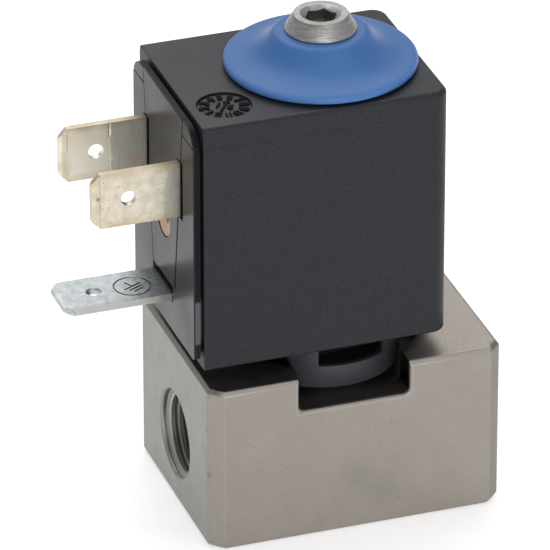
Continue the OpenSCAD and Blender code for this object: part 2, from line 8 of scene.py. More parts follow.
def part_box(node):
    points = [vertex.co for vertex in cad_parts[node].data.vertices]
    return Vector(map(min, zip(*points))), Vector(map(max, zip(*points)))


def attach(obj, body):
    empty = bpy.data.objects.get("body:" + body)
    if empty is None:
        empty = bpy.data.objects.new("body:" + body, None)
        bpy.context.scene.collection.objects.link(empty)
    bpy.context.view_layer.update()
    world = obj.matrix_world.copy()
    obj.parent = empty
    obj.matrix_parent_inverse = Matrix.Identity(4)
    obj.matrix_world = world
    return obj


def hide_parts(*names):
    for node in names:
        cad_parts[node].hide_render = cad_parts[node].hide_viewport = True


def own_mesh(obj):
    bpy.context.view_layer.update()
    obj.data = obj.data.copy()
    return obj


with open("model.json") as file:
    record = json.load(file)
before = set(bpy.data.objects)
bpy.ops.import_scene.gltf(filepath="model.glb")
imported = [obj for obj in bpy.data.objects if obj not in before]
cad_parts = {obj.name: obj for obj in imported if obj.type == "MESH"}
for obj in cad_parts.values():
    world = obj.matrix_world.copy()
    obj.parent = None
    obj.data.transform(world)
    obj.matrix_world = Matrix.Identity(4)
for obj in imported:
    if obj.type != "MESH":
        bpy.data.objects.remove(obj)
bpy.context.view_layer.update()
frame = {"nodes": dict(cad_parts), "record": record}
nodes = frame["nodes"]
record = frame["record"]
scene = bpy.context.scene
scene.view_settings.view_transform = "Standard"
mm = 0.001
perMetre = 1000.0  # millimetres in a metre
print("frame loaded:", len(nodes), "CAD nodes")


# node helpers

def addNode(tree, kind, **settings):
    node = tree.nodes.new(kind)
    for key, value in settings.items():
        if hasattr(node, key):
            setattr(node, key, value)
        else:
            node.inputs[key].default_value = value
    return node


def feed(tree, socket, value):
    if isinstance(value, (int, float)):
        socket.default_value = value
    elif isinstance(value, tuple):
        socket.default_value = (*value, 1.0) if len(socket.default_value) == 4 else value
    else:
        tree.links.new(value, socket)


def mathNode(tree, operation, first, second=None, third=None, clamp=False):
    node = addNode(tree, "ShaderNodeMath", operation=operation, use_clamp=clamp)
    for index, value in enumerate((first, second, third)):
        if value is not None:
            feed(tree, node.inputs[index], value)
    return node.outputs[0]


def mapRange(tree, value, fromMin, fromMax, toMin=0.0, toMax=1.0, smooth=False):
    node = addNode(tree, "ShaderNodeMapRange")
    if smooth:
        node.interpolation_type = "SMOOTHSTEP"
    for key, number in (("Value", value), ("From Min", fromMin), ("From Max", fromMax),
                        ("To Min", toMin), ("To Max", toMax)):
        feed(tree, node.inputs[key], number)
    return node.outputs["Result"]


def mixColour(tree, factor, first, second):
    node = addNode(tree, "ShaderNodeMix", data_type="RGBA")
    feed(tree, node.inputs[0], factor)
    feed(tree, node.inputs[6], first)
    feed(tree, node.inputs[7], second)
    return node.outputs[2]


def objectXyz(tree):
    coords = addNode(tree, "ShaderNodeTexCoord")
    split = addNode(tree, "ShaderNodeSeparateXYZ")
    tree.links.new(coords.outputs["Object"], split.inputs[0])
    return split.outputs


# shared node groups, sizes in millimetres
fieldLook = dict(speckCore=0.4, edgeSamples=6, ringDetail=3.0)


def newGroup(name, inputs, output):
    group = bpy.data.node_groups.new(name, "ShaderNodeTree")
    for label, default in inputs.items():
        socket = group.interface.new_socket(name=label, in_out="INPUT", socket_type="NodeSocketFloat")
        socket.default_value = default
    group.interface.new_socket(name=output, in_out="OUTPUT", socket_type="NodeSocketFloat")
    return group, group.nodes.new("NodeGroupInput").outputs, group.nodes.new("NodeGroupOutput").inputs[0]


def buildNoiseField():  # cloudy variation
    inputs = {"Size": 1.0, "Detail": 4.0, "Contrast": 0.2, "Stretch": 1.0}
    group, given, result = newGroup("noiseField", inputs, "Value")
    xyz = objectXyz(group)
    joined = addNode(group, "ShaderNodeCombineXYZ")
    for axis in (0, 1):
        group.links.new(xyz[axis], joined.inputs[axis])
    group.links.new(mathNode(group, "DIVIDE", xyz[2], given["Stretch"]), joined.inputs[2])
    noise = addNode(group, "ShaderNodeTexNoise")
    group.links.new(joined.outputs[0], noise.inputs["Vector"])
    group.links.new(mathNode(group, "DIVIDE", perMetre, given["Size"]), noise.inputs["Scale"])
    group.links.new(given["Detail"], noise.inputs["Detail"])
    top = mathNode(group, "SUBTRACT", 1.0, given["Contrast"])
    group.links.new(mapRange(group, noise.outputs["Fac"], given["Contrast"], top), result)
    return group


def buildSpeckField():  # sparse round specks or pits
    group, given, result = newGroup("speckField", {"Spacing": 1.0, "Size": 0.15, "Share": 0.5}, "Mask")
    coords = addNode(group, "ShaderNodeTexCoord")
    cells = addNode(group, "ShaderNodeTexVoronoi")
    group.links.new(coords.outputs["Object"], cells.inputs["Vector"])
    group.links.new(mathNode(group, "DIVIDE", perMetre, given["Spacing"]), cells.inputs["Scale"])
    split = addNode(group, "ShaderNodeSeparateColor")
    group.links.new(cells.outputs["Color"], split.inputs["Color"])
    chosen = mathNode(group, "LESS_THAN", split.outputs[0], given["Share"])
    radius = mathNode(group, "MULTIPLY", split.outputs[1], given["Size"])
    core = mathNode(group, "MULTIPLY", radius, fieldLook["speckCore"])
    dot = mapRange(group, cells.outputs["Distance"], core, radius, 1.0, 0.0)
    group.links.new(mathNode(group, "MULTIPLY", dot, chosen), result)
    return group


def buildEdgeBand():  # worn edges, where the rounded normal leaves the true one
    group, given, result = newGroup("edgeBand", {"Radius": 0.2, "Gain": 4.0}, "Mask")
    bevel = addNode(group, "ShaderNodeBevel", samples=fieldLook["edgeSamples"])
    group.links.new(mathNode(group, "MULTIPLY", given["Radius"], mm), bevel.inputs["Radius"])
    geometry = addNode(group, "ShaderNodeNewGeometry")
    dot = addNode(group, "ShaderNodeVectorMath", operation="DOT_PRODUCT")
    group.links.new(bevel.outputs["Normal"], dot.inputs[0])
    group.links.new(geometry.outputs["True Normal"], dot.inputs[1])
    lost = mathNode(group, "SUBTRACT", 1.0, dot.outputs["Value"])
    group.links.new(mathNode(group, "MULTIPLY", lost, given["Gain"], clamp=True), result)
    return group


def buildToolRings():  # rings left by a lathe or mill, by distance from a point, height weighed
    inputs = {"Centre X": 0.0, "Centre Y": 0.0, "Centre Z": 0.0, "Height": 1.0, "Pitch": 0.1, "Wander": 0.4}
    group, given, result = newGroup("toolRings", inputs, "Value")
    xyz = objectXyz(group)
    squares = []
    for axis, label in enumerate(("Centre X", "Centre Y", "Centre Z")):
        centre = mathNode(group, "MULTIPLY", given[label], -1.0)
        offset = mathNode(group, "MULTIPLY_ADD", xyz[axis], perMetre, centre)
        if axis == 2:
            offset = mathNode(group, "MULTIPLY", offset, given["Height"])
        squares.append(mathNode(group, "MULTIPLY", offset, offset))
    total = mathNode(group, "ADD", mathNode(group, "ADD", squares[0], squares[1]), squares[2])
    turns = mathNode(group, "DIVIDE", mathNode(group, "SQRT", total), given["Pitch"])
    noise = addNode(group, "ShaderNodeTexNoise", noise_dimensions="1D", Detail=fieldLook["ringDetail"], Scale=1.0)
    group.links.new(turns, noise.inputs["W"])
    sine = mathNode(group, "SINE", mathNode(group, "MULTIPLY", turns, 2 * math.pi))
    wave = mathNode(group, "MULTIPLY_ADD", sine, 0.5, 0.5)
    mix = addNode(group, "ShaderNodeMix", data_type="FLOAT")
    for socket, source in zip(mix.inputs[0:1] + mix.inputs[2:4], (given["Wander"], wave, noise.outputs["Fac"])):
        group.links.new(source, socket)
    group.links.new(mix.outputs[0], result)
    return group


groups = {"noise": buildNoiseField(), "speck": buildSpeckField(),
          "edge": buildEdgeBand(), "rings": buildToolRings()}
print("node groups built:", len(groups))


# material helpers

def newMaterial(name, **principled):
    material = bpy.data.materials.new(name)
    material.use_nodes = True
    tree = material.node_tree
    shader = tree.nodes["Principled BSDF"]
    for key, value in principled.items():
        shader.inputs[key.replace("_", " ")].default_value = value
    return material, tree, shader


def useGroup(tree, key, **values):
    node = tree.nodes.new("ShaderNodeGroup")
    node.node_tree = groups[key]
    for label, value in values.items():
        feed(tree, node.inputs[label.replace("_", " ")], value)
    return node.outputs[0]


def tint(tree, tone, mask, colour, share=1.0):  # colour laid over the tone where the mask is
    amount = mask if share == 1.0 else mathNode(tree, "MULTIPLY", mask, share)
    return mixColour(tree, amount, tone, colour)


def addBump(tree, shader, layers):  # layers of (height, depth in mm)
    last = None
    for height, depth in layers:
        bump = addNode(tree, "ShaderNodeBump", Strength=1.0, Distance=depth * mm)
        tree.links.new(height, bump.inputs["Height"])
        if last:
            tree.links.new(last, bump.inputs["Normal"])
        last = bump.outputs["Normal"]
    tree.links.new(last, shader.inputs["Normal"])


# cloud, grain, specks and worn edges, which every material has
layerLook = dict(ior=1.5, shine=0.5, cloud=dict(Detail=6.0, Contrast=0.3), grain=dict(Detail=2.0, Contrast=0.25),
                 edgeGain=3.0)


def layeredMaterial(name, look, paint=None):
    base = layerLook
    material, tree, shader = newMaterial(name, Metallic=look.get("metal", 0.0), IOR=base["ior"],
                                         Specular_IOR_Level=look.get("shine", base["shine"]))
    cloud = useGroup(tree, "noise", Size=look["cloudSize"], **base["cloud"])
    grain = useGroup(tree, "noise", Size=look["grainSize"], **base["grain"])
    specks = useGroup(tree, "speck", Spacing=look["speckSpacing"], Size=look["speckSize"], Share=look["speckShare"])
    edge = useGroup(tree, "edge", Radius=look["edgeRadius"], Gain=base["edgeGain"])
    tone = mixColour(tree, cloud, look["dark"], look["light"])
    grainColour = look.get("grainColour", look["speckTone"])
    tone = tint(tree, tone, grain, grainColour, look["grainShare"])
    layers = [(grain, look["grainDepth"]), (specks, look["speckDepth"])]
    rough = mapRange(tree, cloud, 0.0, 1.0, *look["roughness"])
    if "rings" in look:
        rings = useGroup(tree, "rings", **look["rings"])
        layers.append((rings, look["ringDepth"]))
        tone = tint(tree, tone, rings, look["dark"], look["ringShare"])
    if paint:
        tone = paint(tree, shader, tone, layers)
    tone = tint(tree, tone, specks, look["speckTone"], look["speckLift"])
    tone = tint(tree, tone, edge, look["edgeTone"], look["edgeLift"])
    feed(tree, shader.inputs["Base Color"], tone)
    feed(tree, shader.inputs["Roughness"], rough)
    addBump(tree, shader, layers)
    return material


# paint helpers, lengths in millimetres

def pointMm(tree):
    return [mathNode(tree, "MULTIPLY", axis, perMetre) for axis in objectXyz(tree)]


def band(tree, value, low, high, soft):  # 1 between two limits, soft at both ends
    rise = mapRange(tree, value, low - soft, low + soft, smooth=True)
    fall = mapRange(tree, value, high - soft, high + soft, 1.0, 0.0, smooth=True)
    return mathNode(tree, "MULTIPLY", rise, fall)


def product(tree, *factors):
    result = factors[0]
    for factor in factors[1:]:
        result = mathNode(tree, "MULTIPLY", result, factor)
    return result


def distanceNode(tree, one, two, centre=(0.0, 0.0)):
    first = mathNode(tree, "SUBTRACT", one, centre[0])
    second = mathNode(tree, "SUBTRACT", two, centre[1])
    square = mathNode(tree, "MULTIPLY_ADD", first, first, mathNode(tree, "MULTIPLY", second, second))
    return mathNode(tree, "SQRT", square)


def lay(tree, tone, mask, look, mark):  # a mark in its own colour and share
    return tint(tree, tone, mask, look[mark + "Tone"], look.get(mark + "Share", 1.0))


def setShine(tree, shader, shine):
    feed(tree, shader.inputs["Specular IOR Level"], shine)


# Each piece has a look for its base material and marks for what is painted on it by place. A pair says where
# a mark starts and ends, a share how strong it is. Colours are as seen under white light.
finish = {}


# block: milled metal, handled, unlit under the coil
blockLook = dict(
    metal=1.0, dark=(0.350, 0.319, 0.291), light=(0.416, 0.388, 0.359), roughness=(0.42, 0.52),
    cloudSize=2.6, grainSize=0.18, grainDepth=0.004, grainShare=0.42,
    edgeRadius=0.16, edgeTone=(0.50, 0.475, 0.445), edgeLift=0.5,
    speckSpacing=0.62, speckSize=0.2, speckShare=0.22, speckDepth=-0.012, speckLift=0.5,
    speckTone=(0.17, 0.145, 0.125), ringDepth=0.005, ringShare=0.55,
    rings=dict(Centre_X=-10.0, Centre_Y=-12.4, Centre_Z=10.0, Pitch=0.30, Wander=0.35))
faceMarks = dict(
    arcs=dict(Centre_X=17.0, Centre_Y=-12.4, Centre_Z=3.0, Pitch=0.33, Wander=0.3),
    arcsDepth=0.002, arcsShare=0.28, arcsTone=(0.27, 0.24, 0.215),
    brown=dict(Size=5.0, Detail=4.0, Contrast=0.40), brownShare=0.22, brownTone=(0.30, 0.255, 0.215),
    smudge=dict(Size=2.2, Detail=3.0, Contrast=0.3), smudgeLeast=0.1, smudgeReach=3.0, smudgeShare=0.42,
    smudgeAt=((-1.0, 5.6), (0.8, 6.0), (2.7, 4.8)), smudgeTone=(0.225, 0.228, 0.228),
    cornerX=(-15.8, -16.0), cornerY=(-11.7, -11.9), cornerShare=0.25, cornerTone=(0.50, 0.49, 0.48),
    leftX=(-16.2, -16.4), leftShadeShare=0.8, leftShadeTone=(0.287, 0.290, 0.278),
    dents=dict(Spacing=3.4, Size=0.22, Share=0.45), dentsShare=0.5, dentsTone=(0.21, 0.175, 0.145),
    dullX=(15.0, 15.2), dullY=(-11.0, -10.8), dullShare=0.5, dullTone=(0.17, 0.16, 0.15))
pocketMarks = dict(
    insideZ=(14.0, 19.13), insideX=(14.0, 14.2), insideY=(11.8, 12.1), insideSoft=0.04,
    depthY=(-10.5, -8.0), depthShare=(0.62, 0.98), insideTone=(0.022, 0.021, 0.019),
    topZ=(19.11, 19.15), ledgeReach=(10.8, 12.6), ledgeShare=0.85, shelterX=(0.0, 8.0), shelterShare=0.5,
    wallReach=(10.7, 10.9), wallZ=(15.6, 15.9), wallShare=0.98, unlitTone=(0.010, 0.0095, 0.009))
notchMarks = dict(
    middle=-0.4, half=6.2, floor=15.45, frontY=(-11.9, -12.1), soft=0.03,
    brokenReach=(0.06, 0.30), brokenShare=0.3, brokenTone=(0.25, 0.24, 0.215),
    wornReach=(0.33, 0.42), wornShare=0.25, wornTone=(0.62, 0.60, 0.55),
    shoulderZ=(18.72, 19.17), shoulderShare=0.2, shoulderTone=(0.58, 0.55, 0.51))
portMarks = dict(
    axis=(0.0, 8.0), mouthReach=(5.3, 5.5), mouthX=-8.0, mouthShare=0.7,
    threadReach=(4.85, 4.95), threadX=(15.8, 15.4), threadShare=0.8, threadTone=(0.25, 0.24, 0.22),
    crestReach=(4.37, 4.50), crestShare=0.9, rootReach=(4.74, 4.80), rootShare=0.75,
    ridgeTone=(0.66, 0.65, 0.62), boreX=(12.0, 9.0), boreShare=0.4, boreTone=(0.06, 0.056, 0.05))


def paintFaces(tree, point, tone, layers):  # mill arcs, brown haze, smudges in front, painted shade on the left face and in the port's mouth
    look = faceMarks
    x, y, z = point
    arcs = useGroup(tree, "rings", **look["arcs"])
    layers.append((arcs, look["arcsDepth"]))
    tone = lay(tree, tone, arcs, look, "arcs")
    tone = lay(tree, tone, useGroup(tree, "noise", **look["brown"]), look, "brown")
    cloud = mapRange(tree, useGroup(tree, "noise", **look["smudge"]), 0.0, 1.0, look["smudgeLeast"], 1.0)
    ahead = mathNode(tree, "LESS_THAN", y, 0.0)
    for spot in look["smudgeAt"]:
        away = distanceNode(tree, x, z, spot)
        patch = mapRange(tree, away, 0.0, look["smudgeReach"], 1.0, 0.0, smooth=True)
        tone = lay(tree, tone, product(tree, patch, cloud, ahead), look, "smudge")
    # painted highlight: the front left corner lighter
    corner = product(tree, mapRange(tree, x, *look["cornerX"]), mapRange(tree, y, *look["cornerY"]))
    tone = lay(tree, tone, corner, look, "corner")
    # painted shade: the left face and the port's mouth darker and cooler than the rest of the block
    port = portMarks
    fromAxis = distanceNode(tree, y, z, port["axis"])
    mouth = product(tree, mapRange(tree, fromAxis, *port["mouthReach"], port["mouthShare"], 0.0),
                    mathNode(tree, "LESS_THAN", x, port["mouthX"]))
    left = mathNode(tree, "MAXIMUM", mapRange(tree, x, *look["leftX"], 0.0, look["leftShadeShare"]), mouth)
    return tint(tree, tone, left, look["leftShadeTone"])


def paintPocket(tree, point, tone):  # painted shade in the pocket round the ring and on the top face under the coil
    look = pocketMarks
    x, y, z = point
    inside = product(tree, band(tree, z, *look["insideZ"], look["insideSoft"]),
                     mapRange(tree, mathNode(tree, "ABSOLUTE", x), *look["insideX"], 1.0, 0.0),
                     mapRange(tree, mathNode(tree, "ABSOLUTE", y), *look["insideY"], 1.0, 0.0))
    depth = mapRange(tree, y, *look["depthY"], *look["depthShare"])
    # painted shade inside the pocket, stronger further back
    tone = lay(tree, tone, product(tree, inside, depth), look, "inside")
    # painted shade on the top face near the pocket, on its left part under the coil and on the pocket's wall
    reach = distanceNode(tree, x, y)
    top = mapRange(tree, z, *look["topZ"])
    ledge = product(tree, top, mapRange(tree, reach, *look["ledgeReach"], look["ledgeShare"], 0.0, smooth=True))
    shelter = product(tree, top, mapRange(tree, x, *look["shelterX"], look["shelterShare"], 0.0, smooth=True))
    wall = product(tree, inside, mapRange(tree, reach, *look["wallReach"]),
                   mapRange(tree, z, *look["wallZ"], 0.0, look["wallShare"]))
    unlit = mathNode(tree, "MAXIMUM", mathNode(tree, "MAXIMUM", ledge, shelter), wall)
    return lay(tree, tone, unlit, look, "unlit")


def paintNotch(tree, point, tone):  # painted shade line and painted highlight on the broken edge round the notch, painted highlight along the front's top
    look = notchMarks
    x, y, z = point
    beside = mathNode(tree, "ABSOLUTE", mathNode(tree, "SUBTRACT", x, look["middle"]))
    aside = mathNode(tree, "MAXIMUM", mathNode(tree, "SUBTRACT", beside, look["half"]), 0.0)
    below = mathNode(tree, "MAXIMUM", mathNode(tree, "SUBTRACT", look["floor"], z), 0.0)
    outward = distanceNode(tree, aside, below)
    front = mapRange(tree, y, *look["frontY"])
    # the dark line is painted shade, the light band and the shoulder are painted highlights
    for key, value in (("broken", outward), ("worn", outward), ("shoulder", z)):
        limits = look[key + ("Z" if key == "shoulder" else "Reach")]
        strip = product(tree, front, band(tree, value, *limits, look["soft"]))
        tone = lay(tree, tone, strip, look, key)
    return tone


def paintPort(tree, point, tone):  # painted shade in the threaded bore, painted highlights on crests and roots, deeper painted shade in the bore
    look = portMarks
    x, y, z = point
    across = mathNode(tree, "ABSOLUTE", x)
    fromAxis = distanceNode(tree, y, z, look["axis"])
    thread = product(tree, mapRange(tree, fromAxis, *look["threadReach"], 1.0, 0.0),
                     mapRange(tree, across, *look["threadX"]))
    tone = lay(tree, tone, thread, look, "thread")
    ridge = mathNode(tree, "MAXIMUM", mapRange(tree, fromAxis, *look["crestReach"], look["crestShare"], 0.0),
                     mapRange(tree, fromAxis, *look["rootReach"], 0.0, look["rootShare"]))
    tone = lay(tree, tone, product(tree, thread, ridge), look, "ridge")
    bore = product(tree, thread, mapRange(tree, across, *look["boreX"]))
    return lay(tree, tone, bore, look, "bore")


def paintBlock(tree, shader, tone, layers):  # with small dents and a dull right front corner
    look = faceMarks
    point = pointMm(tree)
    tone = paintFaces(tree, point, tone, layers)
    tone = paintPocket(tree, point, tone)
    tone = lay(tree, tone, useGroup(tree, "speck", **look["dents"]), look, "dents")
    tone = paintNotch(tree, point, tone)
    dull = product(tree, mapRange(tree, point[0], *look["dullX"]), mapRange(tree, point[1], *look["dullY"], 1.0, 0.0))
    tone = lay(tree, tone, dull, look, "dull")
    return paintPort(tree, point, tone)


finish["body_metal"] = layeredMaterial("blockMetal", blockLook, paintBlock)


# plain inner metals
steelLook = dict(
    metal=1.0, dark=(0.34, 0.34, 0.35), light=(0.42, 0.42, 0.43), roughness=(0.3, 0.42),
    cloudSize=3.0, grainSize=0.15, grainDepth=0.002, grainShare=0.1,
    edgeRadius=0.1, edgeTone=(0.55, 0.55, 0.56), edgeLift=0.3,
    speckSpacing=1.2, speckSize=0.06, speckShare=0.2, speckDepth=-0.004, speckLift=0.4, speckTone=(0.2, 0.2, 0.2))
copperLook = dict(steelLook, dark=(0.42, 0.17, 0.08), light=(0.55, 0.25, 0.12), edgeTone=(0.7, 0.4, 0.24),
                  speckTone=(0.2, 0.07, 0.03))
for slotName, label in (("tube_steel", "tubeSteel"), ("core_steel", "coreSteel"), ("spring_steel", "springSteel"),
                        ("yoke_steel", "yokeSteel")):
    finish[slotName] = layeredMaterial(label, steelLook)
finish["copper"] = layeredMaterial("windingCopper", copperLook)


# cap screw: turned all round, with painted shade on its top and inside its hexagon socket
screwLook = dict(
    metal=1.0, dark=(0.41, 0.403, 0.39), light=(0.51, 0.503, 0.49), roughness=(0.34, 0.42),
    cloudSize=1.2, grainSize=0.09, grainDepth=0.003, grainShare=0.22,
    edgeRadius=0.07, edgeTone=(0.66, 0.65, 0.64), edgeLift=0.6,
    speckSpacing=0.5, speckSize=0.09, speckShare=0.3, speckDepth=-0.004, speckLift=0.4, speckTone=(0.2, 0.19, 0.18),
    ringDepth=0.008, ringShare=0.5, rings=dict(Height=0.0, Pitch=0.13, Wander=0.6))
screwMarks = dict(
    brushed=0.5, streakTurn=2.2, streakScale=4.2, streakDetail=3.0, streakRange=(0.36, 0.66), streakDepth=0.006,
    streakShare=0.6, streakTone=(0.19, 0.185, 0.18), topZ=(55.62, 55.68), topShare=0.35, topTone=(0.30, 0.295, 0.29),
    socketReach=(1.72, 1.78), socketZ=(55.42, 55.30), socketTone=(0.27, 0.262, 0.252))


def paintScrew(tree, shader, tone, layers):
    look = screwMarks
    tangent = addNode(tree, "ShaderNodeTangent", direction_type="RADIAL", axis="Z")
    tree.links.new(tangent.outputs[0], shader.inputs["Tangent"])
    feed(tree, shader.inputs["Anisotropic"], look["brushed"])
    x, y, z = pointMm(tree)
    radius = distanceNode(tree, x, y)
    around = addNode(tree, "ShaderNodeCombineXYZ")
    for socket, value in zip(around.inputs, (x, y)):
        turn = mathNode(tree, "MULTIPLY", mathNode(tree, "DIVIDE", value, radius), look["streakTurn"])
        tree.links.new(turn, socket)
    along = mathNode(tree, "MULTIPLY", mathNode(tree, "SUBTRACT", z, radius), look["streakScale"])
    tree.links.new(along, around.inputs[2])
    noise = addNode(tree, "ShaderNodeTexNoise", Scale=1.0, Detail=look["streakDetail"])
    tree.links.new(around.outputs[0], noise.inputs["Vector"])
    streak = mapRange(tree, noise.outputs["Fac"], *look["streakRange"])
    layers.append((streak, look["streakDepth"]))
    tone = lay(tree, tone, streak, look, "streak")
    # painted shade: the top face darker
    tone = lay(tree, tone, mapRange(tree, z, *look["topZ"]), look, "top")
    # painted shade inside the hexagon socket
    hollow = product(tree, mapRange(tree, radius, *look["socketReach"], 1.0, 0.0), mapRange(tree, z, *look["socketZ"]))
    return lay(tree, tone, hollow, look, "socket")


finish["screw_steel"] = layeredMaterial("turnedSteel", screwLook, paintScrew)


# the three tabs, unlit where they pass into the pad
tabSlot = dict(hiddenX=(-17.70, -17.58), shine=(0.5, 0.0))


def paintInSlot(tree, shader, x, tone, shade):
    # painted shade on the part of the tab inside the pad's slot, its shine taken away
    hidden = mapRange(tree, x, *tabSlot["hiddenX"])
    setShine(tree, shader, mapRange(tree, hidden, 0.0, 1.0, *tabSlot["shine"]))
    return tint(tree, tone, hidden, shade)


# line tabs: tinned brass, greyer towards the root, brown along edges and tip
lineTabLook = dict(
    metal=1.0, dark=(0.60, 0.555, 0.45), light=(0.84, 0.80, 0.70), roughness=(0.40, 0.52),
    cloudSize=1.0, grainSize=0.2, grainDepth=0.004, grainShare=0.3,
    edgeRadius=0.1, edgeTone=(0.84, 0.81, 0.73), edgeLift=0.5,
    speckSpacing=0.42, speckSize=0.36, speckShare=0.28, speckDepth=-0.004, speckLift=0.75,
    speckTone=(0.30, 0.235, 0.15))
lineTabMarks = dict(
    cloud=dict(Size=2.4, Detail=4.0, Contrast=0.36), pairY=(-1.0, 1.0), behindShare=0.8, behindTone=(0.97, 0.92, 0.80),
    rootX=(-18.95, -21.5), rootWaver=0.7, rootSoft=0.3, rootShare=0.6, rootTone=(0.50, 0.50, 0.475),
    lines=dict(Size=0.16, Detail=2.0, Contrast=0.3, Stretch=12.0), linesShare=0.35, linesTone=(0.36, 0.35, 0.32),
    middleZ=40.75, rimHeight=(2.2, 3.0), tipX=(-25.8, -27.1), rimLeast=0.15, cloudLeast=0.3,
    brownShare=0.75, brownTone=(0.50, 0.385, 0.225),
    bendX=(-26.48, -26.40), bendSoft=0.04, bendBreak=(0.35, 0.6), bendShare=0.7, bendTone=(0.30, 0.20, 0.13),
    upperZ=(43.75, 43.88), upperShare=0.45, upperTone=(0.42, 0.36, 0.25),
    stainAt=(-19.15, 39.3), stainReach=(0.3, 1.0), stainShare=0.5, stainTone=(0.60, 0.42, 0.27),
    rustAt=(-26.65, 41.15), rustReach=(0.1, 0.22), rustShare=0.85, rustTone=(0.24, 0.12, 0.05),
    slotTone=(0.03, 0.031, 0.032))


def paintLineTab(tree, shader, tone, layers):
    look = lineTabMarks
    x, y, z = pointMm(tree)
    cloud = useGroup(tree, "noise", **look["cloud"])
    # painted light: the back tab lighter than the front one
    tone = lay(tree, tone, mapRange(tree, y, *look["pairY"]), look, "behind")
    waver = mathNode(tree, "MULTIPLY_ADD", cloud, look["rootWaver"], x)
    start = mapRange(tree, y, *look["pairY"], *look["rootX"])
    root = mapRange(tree, mathNode(tree, "SUBTRACT", waver, start), 0.0, look["rootSoft"], smooth=True)
    tone = lay(tree, tone, root, look, "root")
    lines = useGroup(tree, "noise", **look["lines"])
    tone = lay(tree, tone, product(tree, lines, root), look, "lines")
    height = mathNode(tree, "ABSOLUTE", mathNode(tree, "SUBTRACT", z, look["middleZ"]))
    rim = mathNode(tree, "MAXIMUM", mapRange(tree, x, *look["tipX"]), mapRange(tree, height, *look["rimHeight"]))
    brown = product(tree, mapRange(tree, rim, 0.0, 1.0, look["rimLeast"], 1.0),
                    mapRange(tree, cloud, 0.0, 1.0, look["cloudLeast"], 1.0))
    tone = lay(tree, tone, brown, look, "brown")
    bend = product(tree, band(tree, x, *look["bendX"], look["bendSoft"]), mapRange(tree, lines, *look["bendBreak"]))
    tone = lay(tree, tone, bend, look, "bend")
    tone = lay(tree, tone, mapRange(tree, z, *look["upperZ"]), look, "upper")
    away = distanceNode(tree, x, z, look["stainAt"])
    stain = mapRange(tree, away, *look["stainReach"], 1.0, 0.0, smooth=True)
    onBack = mathNode(tree, "GREATER_THAN", y, 0.0)
    tone = lay(tree, tone, product(tree, stain, onBack), look, "stain")
    rust = mapRange(tree, distanceNode(tree, x, z, look["rustAt"]), *look["rustReach"], 1.0, 0.0)
    onFront = mathNode(tree, "LESS_THAN", y, 0.0)
    tone = lay(tree, tone, product(tree, rust, onFront), look, "rust")
    return paintInSlot(tree, shader, x, tone, look["slotTone"])


finish["line_tab"] = layeredMaterial("tinnedBrass", lineTabLook, paintLineTab)


# earth tab: zinc plate, scratched along, dull near the root, with the stamped earth sign in painted shade and a painted
# highlight
earthTabLook = dict(
    metal=1.0, dark=(0.42, 0.455, 0.465), light=(0.66, 0.695, 0.70), roughness=(0.34, 0.44),
    cloudSize=0.9, grainSize=0.18, grainDepth=0.004, grainShare=0.28,
    edgeRadius=0.1, edgeTone=(0.80, 0.83, 0.84), edgeLift=0.6,
    speckSpacing=0.7, speckSize=0.2, speckShare=0.2, speckDepth=-0.004, speckLift=0.45,
    speckTone=(0.2, 0.215, 0.22))
earthSign = dict(centre=(-21.18, -0.19), circle=1.97, line=0.22, depth=0.12, turn=28.0, bars=(2.3, 1.8, 1.25),
                 gap=0.5, stem=1.0, stemGap=0.05, over=0.1, steps=64, sharpReach=2.3, sharpDepth=0.15)
earthTabMarks = dict(
    scratchAlong=0.26, scratchAcross=2.6, scratchSlant=0.7, scratchDetail=2.0, scratchRange=(0.62, 0.72),
    scratchDepth=-0.004, scratchShare=0.35, scratchTone=(0.30, 0.32, 0.33),
    rootX=(-22.5, -17.8), rootShare=0.55, rootTone=(0.33, 0.35, 0.345),
    fine=dict(Size=0.3, Detail=4.0, Contrast=0.38), fineRange=(0.15, 0.60), fineTone=(0.12, 0.13, 0.13),
    signReach=(2.3, 2.4), signZ=(26.75, 26.91), signSoft=0.01, rubbedY=(-1.7, -1.0), rubbedShare=(0.3, 0.75),
    signTone=(0.09, 0.095, 0.095), brightY=(1.1, 1.6), brightX=(-21.2, -20.5), brightShare=0.85,
    brightTone=(0.92, 0.93, 0.93), sideY=(3.09, 3.13), sideShare=0.75, sideTone=(0.47, 0.45, 0.41),
    edgeY=(3.03, 3.11), edgeSoft=0.02, edgeBreak=(0.2, 0.6), edgeShare=0.65, edgeTone=(0.16, 0.165, 0.16),
    slotTone=(0.15, 0.155, 0.155))


